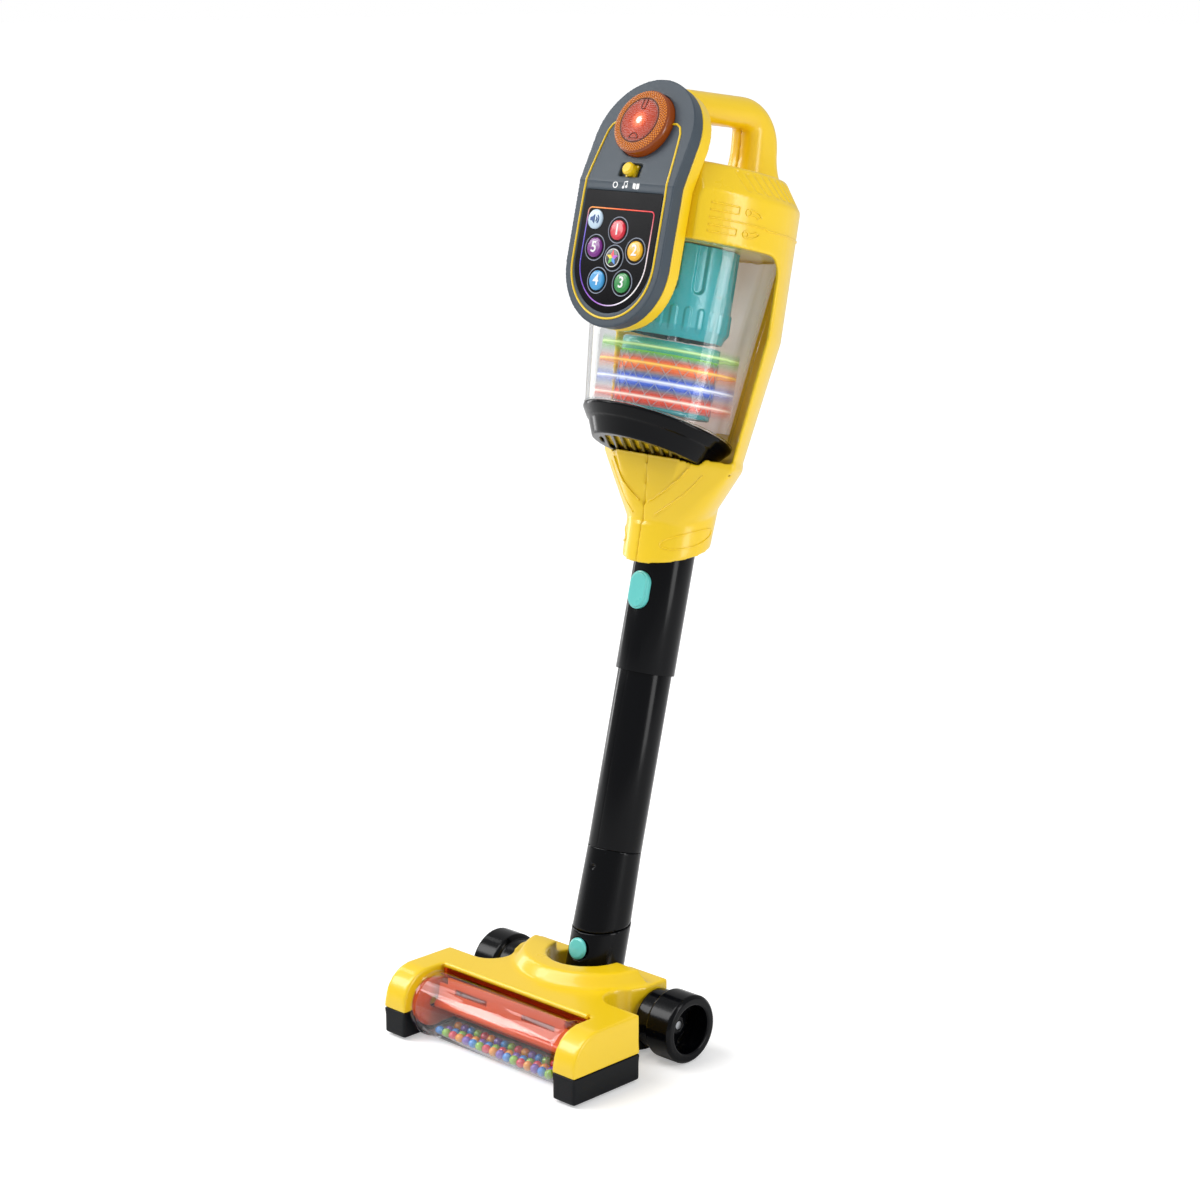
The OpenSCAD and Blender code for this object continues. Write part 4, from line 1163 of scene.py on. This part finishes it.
# The four spinning rings: the middle's height along the stick in millimetres, and the ramp over their width
RING_LIGHT = {
    "green": (456, ((0, 0x4FB02A), (0.42, 0x79C93A), (0.55, 0xD8EFA0), (0.68, 0x6FC038), (1, 0x3F9A2C))),
    "orange": (444.5, ((0, 0xD24A10), (0.42, 0xEF6A1A), (0.54, 0xFFD45A), (0.66, 0xEE6416), (1, 0xC9480F))),
    "blue": (433, ((0, 0x1B3FA8), (0.36, 0x2F62D8), (0.52, 0xF2F6FF), (0.68, 0x2D5CD0), (1, 0x1C3C9C))),
    "red": (421.5, ((0, 0xB32410), (0.42, 0xE8431C), (0.55, 0xFFE9D8), (0.68, 0xE2401C), (1, 0xC03014))),
}
RING_HALF = 6.2
# Radius of the painted glow haze that lies out from each ring, in millimetres
RING_HAZE_RADIUS = 48.0
RING_CORE_RADIUS = 33.9

# The canister's wall: radius at its foot, how much it widens, and its foot and height in millimetres
WALL_RADIUS = 52
WALL_SPREAD = 14
WALL_FOOT = 404
WALL_HEIGHT = 126

# How far along the stick the lattice of the spinning column starts, in metres
LATTICE_FOOT = 0.4165

# The shroud in the canister, in millimetres
SHROUD_FOOT = 466
SHROUD_TOP = 529.8
SHROUD_RADIUS = 36
FLUTES = 12


class VACUUM_OT_canister(bpy.types.Operator):
    """Makes the clear canister, its cap and the column inside"""

    bl_idname = "vacuum.canister"
    bl_label = "Canister"

    def execute(self, context):
        size = sized()
        clear = clear_plastic()
        eased("canister", FINE_EDGE, clear, "clear_plastic")
        moulded("canister_cap", VOXELS["canister_cap"], 3, gloss_black(), "black_gloss")
        section = [(51, 0.2), (54.1, 0.2), (54.4, 0.7), (54.1, 1.2), (51, 1.2), (51, 0.2)]
        rim = lathe("canister_rim", CAP, section, 128)
        settle(add_object("canister_rim", rim, clear), "hand_unit", "clear_plastic")
        eased("vent_plate", FINE_EDGE, yellow(), "yellow_plastic")
        eased("column_shaft", PIN_EDGE, steel(), "steel")
        teal = plastic(
            "Teal plastic", tinted().teal,
            roughness=0.25, scale=300, depth=0.03, variation=0.08, coat=0.3,
        )
        self.shroud(teal)
        grey = plastic("Column core", srgb(0xB9C2C4), roughness=0.45, scale=600, depth=0.05, variation=0.15)
        eased("mesh_column", EDGE, grey, "white_plastic")
        bars = plastic("Lattice", srgb(0xBCC9D2), roughness=0.4, scale=600, depth=0.02, variation=0.1)
        lattice = add_object("column_lattice", bpy.data.meshes.new("column_lattice"))
        run_tree(
            lattice, lattice_tree(), Radius=0.0345, Height=0.036, Turns=0.13, Count=size.lattice_count,
            Bar_Radius=size.lattice_bar, Material=bars,
        )
        lattice.data.transform(CAN @ Matrix.Translation((0, 0, LATTICE_FOOT)))
        settle(lattice, "rotor", "white_plastic")
        for name, low, high in (("column_band", 453.5, 462.5), ("column_foot", 413.2, 416.8)):
            ring = lathe(name, CAN, [(33.2, low), (34.2, low + 0.3), (34.2, high - 0.3), (33.2, high)], 96)
            settle(add_object(name, ring, teal), "rotor", "teal_plastic")
        self.bands()
        self.painted_light_wall()
        return {"FINISHED"}

    def painted_light_wall(self):
        """A pale sheet just inside the rear of the canister's wall, which fades out to both sides: painted
        light, a glowing pale colour that stands in for the light and reflections seen through the clear wall.
        """
        inset, start, sweep = 2.6, 98, 164
        shares = np.linspace(0, 1, 60)
        turns = np.radians(start + sweep * shares)
        levels = (407, 440, 470, 500, 529)
        points = []
        for height in levels:
            radius = WALL_RADIUS + (height - WALL_FOOT) / WALL_HEIGHT * WALL_SPREAD - inset
            points += [(radius * math.sin(t), -radius * math.cos(t), height) for t in turns]
        values = np.tile(shares, len(levels))
        places = local(CAN, points)
        mesh = grid_mesh("canister_painted_light", places, len(turns), len(levels), wrap=False, along=values)
        # Painted highlight: the lighter stops at 0.3 and 0.7 are bright stripes, and the sheet glows at 0.3
        # though it is no lamp.
        tones = toned([(0, 0xDCC8BE), (0.3, 0xF0E8E4), (0.5, 0xD8C6BC), (0.7, 0xF0E8E4), (1, 0xDCC8BE)])
        fade = [(0, 0), (0.14, 0.5), (0.3, 0.85), (0.7, 0.85), (0.86, 0.5), (1, 0)]
        painted_light_sheet = ramp_material("Painted light wall", tones, 0.3, fade, 0.5)
        settle(add_object("canister_painted_light", mesh, painted_light_sheet), "hand_unit", "clear_plastic")

    def shroud(self, teal):
        """The shroud with deep round-ended flutes above and narrow ribs below."""
        foot, top, waist = SHROUD_FOOT, SHROUD_TOP, 474
        heights = np.linspace(foot, top, 110)
        outer = [(float(np.interp(h, [foot, waist, 530], [34, 37, SHROUD_RADIUS])), h) for h in heights]
        profile = [(31.6, foot), *outer, (33.4, top), (33.4, 527), (34.2, waist), (31.6, foot)]
        flute_foot, flute_half, flute_depth = 501, 4.6, 2.3
        rib_top, rib_half, rib_height = 485, 2.6, 0.9

        def flutes(turns, radii, levels):
            """What the flutes and ribs add to the radius."""
            step = 2 * math.pi / FLUTES
            across = (np.mod(turns + step / 2, step) - step / 2) * SHROUD_RADIUS
            ends = np.where(levels < flute_foot, np.hypot(across, levels - flute_foot), np.abs(across))
            deep = -flute_depth * np.clip((flute_half - ends) / 1.4, 0, 1)
            thin = step / 2
            near = (np.mod(turns, thin) - thin / 2) * SHROUD_RADIUS
            tips = np.where(levels > rib_top, np.hypot(near, levels - rib_top), np.abs(near))
            ribs = rib_height * np.clip((rib_half - tips) / 0.9, 0, 1) * np.clip((levels - 470) / 3, 0, 1)
            return np.where(radii > 33.9, np.where(levels > 493, deep, ribs), 0)

        mesh = lathe("shroud_fluted", CAN, profile, 360, swell=flutes)
        settle(add_object("shroud_fluted", mesh, teal), "hand_unit", "teal_plastic", "shroud")

    def bands(self):
        """The coloured rings, each with a bright core and soft edges, as they look while they spin; out from
        each glowing core lies a fainter glowing haze of its colours, a painted glow where there is no part.
        """
        strong = [(0, 0), (0.16, 0.4), (0.32, 0.85), (0.7, 0.85), (0.86, 0.4), (1, 0)]
        faint = [
            (0, 0), (0.2, 0.12), (0.42, 0.3), (0.5, 0.75), (0.56, 0.75), (0.64, 0.3), (0.84, 0.12), (1, 0),
        ]
        levels = np.linspace(0, 1, 21)
        for label, (centre, stops) in RING_LIGHT.items():
            core = ramp_material(f"Glow {label}", toned(stops), 0.35, strong, 0.5)
            # Painted glow: a faint glowing haze of the ring's colours, drawn further out where there is no
            # part.
            glow_haze = ramp_material(f"Glow haze {label}", toned(stops), 0.3, faint, 0.5)
            heights = [centre - RING_HALF + 2 * RING_HALF * share for share in levels]
            for part, radius, paint in (("band", RING_HAZE_RADIUS, glow_haze), ("core", RING_CORE_RADIUS, core)):
                name = f"ring_{label}_{part}"
                band = lathe(name, CAN, [(radius, height) for height in heights], 128, along=levels)
                settle(add_object(name, band, paint), "rotor", f"{label}_plastic")
            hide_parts(f"ring_{label}")


def on_panel(x, s, out):
    """A scene point on the bent face of the panel: across, up from the bend, out of the face."""
    return local(PANEL_UP if s > 0 else PANEL_LOW, [(x, s, out)])[0]


# Each key's place on the panel in millimetres, its colour, its figure and its slot
KEY_FACES = {
    "key_1": ((0, -33), 0xD81E36, "1", "red_plastic"),
    "key_2": ((18.7, -46), 0xF0B400, "2", "yellow_plastic"),
    "key_3": ((11.6, -68), 0x1E8A3C, "3", "green_plastic"),
    "key_4": ((-11.6, -68), 0x3C9CD8, "4", "blue_plastic"),
    "key_5": ((-18.7, -46), 0x7A1E86, "5", "yellow_plastic"),
    "key_star": ((0, -52), 0x17181C, None, "display_gloss"),
    "key_volume": ((-22.3, -27), 0xBFD6E8, None, "white_plastic"),
}


# Size of the keys' figures and the heights of their undersides and faces, in millimetres
FIGURE_SIZE = 10.5
FIGURE_HEIGHTS = (0.7, 1.4)


def ring_line(matrix, radius, height):
    """A closed ring of scene points at a height of a frame, in millimetres."""
    ring = circle(radius, 64)
    return [local(matrix, [(x, y, height)])[0] for x, y in [*ring, ring[0]]]


def key_frame(node):
    """The frame on the panel's face in the middle of a key."""
    x, s = KEY_FACES[node][0]
    return PANEL_LOW @ Matrix.Translation((x * MM, s * MM, 0))


class VACUUM_OT_panel(bpy.types.Operator):
    """Makes the panel's bezel, backing, display and printed marks"""

    bl_idname = "vacuum.panel"
    bl_label = "Panel"

    def execute(self, context):
        size = sized()
        moulded("panel_backing", VOXELS["panel_backing"], 4, yellow(), "yellow_plastic")
        moulded("panel_bezel", size.fine_voxel, 4, slate(), "slate_plastic")
        gloss = plastic(
            "Display gloss", srgb(0x08070C),
            roughness=0.2, scale=60, depth=0.0, variation=0.3, specular=0.07,
        )
        eased("display_plate", UNBEVELLED, gloss, "display_gloss")
        stripe = swept("panel_pinstripe", [self.stripe_line()], size.stripe, yellow(), 12)
        settle(stripe, "hand_unit", "yellow_plastic")
        self.display_frame()
        self.mode_marks()
        moulded("mode_slider", VOXELS["mode_slider"], 4, yellow(), "yellow_plastic")
        paint_node("circuit_board", plastic(
            "Board", srgb(0x1E5A34),
            roughness=0.4, scale=700, depth=0.1, variation=0.2,
        ))
        paint_node("key_pad", plastic(
            "Key pad", srgb(0xD0D0CC),
            roughness=0.55, scale=900, depth=0.1, variation=0.1,
        ))
        return {"FINISHED"}

    def stripe_line(self):
        """The pinstripe from one side of the lamp round the display's lower end to the other side."""
        half, low = 37.4, -55.5
        right = [
            (23.6, 43), (27, 43.2), (30.6, 41), (32.8, 36.5), (33.8, 30),
            (35, 20), (36.2, 8), (36.9, 0), (37.3, -10), (half, -30),
        ]
        bottom = circle(half, 41, 0, low, 0, -180)
        left = [(-x, s) for x, s in right[::-1]]
        return [on_panel(x, s, 0.1) for x, s in [*right, (half, -40), (half, -48), *bottom, *left]]

    def display_frame(self):
        """The frame line on the display, from orange and red over white to purple and blue."""
        half, top, centre, corner, sunk = 30.2, -19.0, -54, 3, -0.2
        plan = [(-half + corner, top), (half - corner, top)]
        plan += circle(corner, 8, half - corner, top - corner, 90, -90)
        plan += [(half, s) for s in np.linspace(top - corner - 1, centre, 14)]
        plan += circle(half, 41, 0, centre, 0, -180)
        plan += [(-half, s) for s in np.linspace(centre, top - corner - 1, 14)]
        plan += [*circle(corner, 8, -half + corner, top - corner, 180, -90), (-half + corner, top)]
        line = [local(PANEL_LOW, [(x, s, sunk)])[0] for x, s in plan]
        stops = [
            (0.0, 0xF6A04A), (0.14, 0xF4552A), (0.26, 0xE03A50), (0.4, 0xF4E6EC), (0.54, 0xFFFFFF),
            (0.66, 0xA05AC8), (0.82, 0x5A4AC0), (0.93, 0x8A7AE0), (1.0, 0xF6A04A),
        ]
        # The frame line glows at 0.25, a painted glow: it is a line on the display, not a lamp.
        trim = swept("display_frame", [line], FRAME_LINE, ramp_material("Frame line with painted glow", toned(stops), 0.25), 8)
        settle(trim, "hand_unit", "display_gloss")

    def mode_marks(self):
        """White marks below the slider: a ring, a music note and an open book."""
        def shift(points, x):
            """Points moved sideways."""
            return [(px + x, py) for px, py in points]

        apart, low, high = 9.5, -0.05, 0.12
        at = PANEL_LOW @ Matrix.Translation((0, -0.0028, 0))
        beam = [
            (0.5, -1.2), (1.1, -1.2), (1.1, 1.6), (3.3, 2.2),
            (3.3, -0.6), (3.9, -0.6), (3.9, 3.2), (0.5, 2.4),
        ]
        note = [shift(beam, -2.2), circle(1.0, 16, -2.0, -1.3), circle(1.0, 16, 0.8, -0.7)]
        book = [
            shift([(-2.9, -1.6), (-0.3, -2.2), (-0.3, 1.6), (-2.9, 2.2)], apart),
            shift([(0.3, -2.2), (2.9, -1.6), (2.9, 2.2), (0.3, 1.6)], apart),
        ]
        hole = [circle(1.5, 28, -apart, 0)]
        meshes = [plate_mesh("mark_ring", [circle(2.3, 28, -apart, 0)], at, low, high, hole)]
        meshes += [plate_mesh("mark_part", [outline], at, low, high) for outline in [*note, *book]]
        settle(joined("panel_marks", meshes, white()), "hand_unit", "white_plastic")


def joined(name, meshes, material):
    """One object from several meshes."""
    shape = bmesh.new()
    for mesh in meshes:
        shape.from_mesh(mesh)
        bpy.data.meshes.remove(mesh)
    whole = bpy.data.meshes.new(name)
    shape.to_mesh(whole)
    shape.free()
    return add_object(name, whole, material)


class VACUUM_OT_keys(bpy.types.Operator):
    """Makes the keys with their figures, rings and symbols"""

    bl_idname = "vacuum.keys"
    bl_label = "Keys"

    def execute(self, context):
        rings = []
        for node, (_, value, figure, slot) in KEY_FACES.items():
            at = key_frame(node)
            skin = plastic(
                f"Key face {node[4:]}", srgb(value),
                roughness=0.22, scale=300, depth=0.03, variation=0.06, coat=0.4,
            )
            moulded(node, VOXELS["keys"], 3, skin, slot)
            if node != "key_volume":
                rings.append(ring_line(at, sized().key_ring / MM, -0.2))
            if figure:
                name = f"{node}_figure"
                digit = add_object(name, numeral(name, figure, FIGURE_SIZE, at, *FIGURE_HEIGHTS), white())
                settle(digit, node, "white_plastic")
        ring_paint = plastic(
            "Key rings", srgb(0x9AA3B5),
            roughness=0.3, scale=400, depth=0.02, variation=0.3,
        )
        settle(swept("key_rings", rings, PRINT_LINE, ring_paint, 8), "hand_unit", "white_plastic")
        self.star()
        self.speaker_mark()
        return {"FINISHED"}

    def star(self):
        """A star with five colours on the middle key."""
        at = key_frame("key_star")
        tips = []
        for index in range(10):
            reach = (5.4, 2.4)[index % 2]
            turn = math.radians(90 + 36 * index)
            tips.append((reach * math.cos(turn), reach * math.sin(turn)))
        points, faces, values = [], [], []
        for index in range(5):
            before, tip, after = tips[2 * index - 1], tips[2 * index], tips[(2 * index + 1) % 10]
            start = len(points)
            for level in (0.9, 1.35):
                points += [(0, 0, level), (*before, level), (*tip, level), (*after, level)]
            base, top = start, start + 4
            faces += [(top, top + 1, top + 2, top + 3), (base + 3, base + 2, base + 1, base)]
            faces += [(base + i, base + (i + 1) % 4, top + (i + 1) % 4, top + i) for i in range(4)]
            values += [0.1 + 0.2 * index] * 8
        mesh = bpy.data.meshes.new("key_star_symbol")
        mesh.from_pydata([tuple(p) for p in local(at, points)], [], faces)
        mesh.attributes.new("along", "FLOAT", "POINT").data.foreach_set("value", values)
        colours = (0xF04A5A, 0xF2D23A, 0x58B84A, 0x4A90E0, 0xB05AC8)
        stops = toned((0.1 + 0.2 * index, colour) for index, colour in enumerate(colours))
        # The star's colours glow faintly at 0.1, a painted glow: the star is print, not a lamp.
        symbol = add_object("key_star_symbol", mesh, ramp_material("Star colours with painted glow", stops, 0.1))
        settle(symbol, "key_star", "white_plastic")
        ring = swept("key_star_ring", [ring_line(at, 6.0, 0.95)], STAR_LINE, white(), 8)
        settle(ring, "key_star", "white_plastic")

    def speaker_mark(self):
        """A loudspeaker with two waves on the volume key."""
        at = key_frame("key_volume")
        blue = plastic("Mark blue", srgb(0x1C4C88), roughness=0.35, scale=500, depth=0.02, variation=0.05)
        horn = [(-3.6, -1.1), (-2.2, -1.1), (0, -3.0), (0, 3.0), (-2.2, 1.1), (-3.6, 1.1)]
        waves = []
        for radius in (2.0, 3.6):
            outer, inner = (circle(radius + side * 0.3, 14, 0.2, 0, -48, 96) for side in (1, -1))
            waves.append([*outer, *inner[::-1]])
        meshes = [plate_mesh("volume_part", [outline], at, 0.8, 1.6) for outline in [horn, *waves]]
        settle(joined("key_volume_symbol", meshes, blue), "key_volume", "blue_plastic")


# The lamp: how far up the panel it sits, and the radii of its lens and of the groove in it, in millimetres
LAMP_UP = 41.3
LENS_RADIUS = 23
GROOVE_RADIUS = 16.2


class VACUUM_OT_lamp(bpy.types.Operator):
    """Makes the lamp lens with its faceted ring and ribbed middle"""

    bl_idname = "vacuum.lamp"
    bl_label = "Lamp"

    def execute(self, context):
        at = PANEL_UP @ Matrix.Translation((0, LAMP_UP * MM, 0))
        middle, groove, facets = (0.05, 15.4, 60), (15.6, 16.8, 10), (17, LENS_RADIUS, 40)
        radii = np.concatenate([np.linspace(*stretch) for stretch in (middle, groove, facets)])
        profile = [(r, self.crown(r)) for r in radii]
        profile += [(LENS_RADIUS, -4), (LENS_RADIUS, -5.2), (25.2, -5.2), (25.2, -8)]
        profile += [(20, -8), (20, 3), (10, 3.6), (0.05, 3.8)]
        segments = 480
        angles = np.linspace(0, 2 * math.pi, segments, endpoint=False)
        rows, values = [], []
        for radius, height in profile:
            relief, light_and_shade_tone = self.cut(radius, height, angles)
            row = [radius * np.sin(angles), -radius * np.cos(angles), height + relief]
            rows.append(np.stack(row, axis=1))
            values.append(light_and_shade_tone)
        places, tones = local(at, np.concatenate(rows)), np.concatenate(values)
        mesh = grid_mesh("lamp_lens_cut", places, segments, len(profile), along=tones)
        # Ramp of the lens: the white middle is the LED's glow; the dark stop at 0.7 is painted shade in the
        # groove, and the stops from 0.76 to 1 run from painted highlight on the facets' crests to painted
        # shade between them.
        stops = [
            (0, 0xFFFFFF), (0.06, 0xFFF0E4), (0.13, 0xE8683C), (0.3, 0xA63210), (0.62, 0x8C2A0A),
            (0.7, 0x4A1604), (0.76, 0xC87A1E), (0.86, 0x94480C), (0.94, 0x6E300A), (1, 0x4C1E06),
        ]
        lens = ramp_material("Lens orange", toned(stops), 0.5, roughness=0.14)
        settle(add_object("lamp_lens_cut", mesh, lens), "lamp_lens", "lens_orange", "lamp_lens")
        # Painted shade: a dark line drawn in the groove, where the face dips, and the same dark line round
        # the tab and the foot.
        dark = plastic("Lens groove shade", srgb(0x4A1606), roughness=0.4, scale=500, depth=0.02, variation=0.1)
        tab = [*circle(1.7, 14, 0, 14.2, 0, 180), *circle(1.7, 14, 0, 9.4, 180, 180), (1.7, 14.2)]
        foot = [*circle(3.6, 24, 0, -13.4, 0, 180), (3.6, -13.4)]
        ring = circle(GROOVE_RADIUS, 96)
        lines = []
        for plan in ([*ring, ring[0]], tab, foot):
            crowned = [(x, y, self.crown(math.hypot(x, y)) + 0.1) for x, y in plan]
            lines.append([local(at, [place])[0] for place in crowned])
        settle(swept("lamp_groove", lines, PRINT_LINE, dark, 8), "lamp_lens", "lens_orange")
        paint_node("lamp_led", plastic(
            "Lamp core", srgb(0xFFF4E0),
            roughness=0.4, scale=500, depth=0.02, variation=0.02, glow=0.4,
        ))
        return {"FINISHED"}

    def cut(self, radius, height, angles):
        """Relief and colour value around the lens at a radius: ribs in the middle and facets in the ring. The
        value darkens towards the groove as painted shade, and on the ribs and facets it follows the relief,
        as painted highlight on crests and painted shade in hollows.
        """
        face, rib_pitch, facet_pairs, twist = 4.2, 1.5, 30, 1.5
        # By radius the value runs from the LED's glow in the middle to painted shade at the groove.
        relief, light_and_shade_tone = np.zeros(len(angles)), np.full(len(angles), min(0.72, radius / LENS_RADIUS))
        if height > face and radius < 15.2:
            relief = 0.16 * np.cos(-radius * np.cos(angles) * 2 * math.pi / rib_pitch)
            # Painted shade and highlight: the value shifts a little with the ribs' relief.
            light_and_shade_tone = light_and_shade_tone + 0.1 * np.clip(relief, -0.1, 0.1)
        elif height > face and 16.8 < radius < 22:
            around = angles * facet_pairs
            waves = [np.abs(np.sin(around + way * radius * twist)) for way in (1, -1)]
            share = (waves[0] + waves[1]) / 2
            relief = 0.8 * (share - 0.5)
            # Painted highlight on the facets' crests and painted shade in their hollows: the value follows
            # the relief.
            light_and_shade_tone = 0.76 + 0.24 * (1 - share)
        elif radius > 16.8 or height <= face:
            light_and_shade_tone = np.full(len(angles), 0.93)
        return relief, light_and_shade_tone

    def crown(self, radius):
        """Height of the lens's face at a radius."""
        shoulder, rim, top = 19.5, 8.0, 8.75
        if radius > shoulder:
            return rim - 2.6 * ((radius - shoulder) / (LENS_RADIUS - shoulder)) ** 2
        dome = top - (top - rim) * (radius / shoulder) ** 2
        return dome - 0.5 * max(0.0, 1 - abs(radius - GROOVE_RADIUS) / 0.6)


class VACUUM_PT_panel(bpy.types.Panel):
    """Sidebar panel with the builders and their settings"""

    bl_idname = "VACUUM_PT_panel"
    bl_label = "Toy Vacuum"
    bl_space_type = "VIEW_3D"
    bl_region_type = "UI"
    bl_category = "Toy Vacuum"

    def draw(self, context):
        for operator in OPERATORS:
            self.layout.operator(operator.bl_idname)
        for group in (context.scene.vacuum_finish, context.scene.vacuum_sizes):
            for label in group.bl_rna.properties.keys():
                if label not in {"rna_type", "name"}:
                    self.layout.prop(group, label)


OPERATORS = (
    VACUUM_OT_stage, VACUUM_OT_head, VACUUM_OT_drum, VACUUM_OT_wheels, VACUUM_OT_stick, VACUUM_OT_housing,
    VACUUM_OT_canister, VACUUM_OT_panel, VACUUM_OT_keys, VACUUM_OT_lamp,
)
CLASSES = (VacuumFinish, VacuumSizes, *OPERATORS, VACUUM_PT_panel)


def register():
    """Registers the classes and the scene's settings."""
    for cls in CLASSES:
        bpy.utils.register_class(cls)
    bpy.types.Scene.vacuum_finish = PointerProperty(type=VacuumFinish)
    bpy.types.Scene.vacuum_sizes = PointerProperty(type=VacuumSizes)


def unregister():
    """Removes the settings and the classes."""
    del bpy.types.Scene.vacuum_sizes
    del bpy.types.Scene.vacuum_finish
    for cls in reversed(CLASSES):
        bpy.utils.unregister_class(cls)


def main():
    """Builds every piece in order."""
    register()
    for operator in OPERATORS:
        getattr(bpy.ops.vacuum, operator.bl_idname.split(".")[1])()


if __name__ == "__main__":
    main()
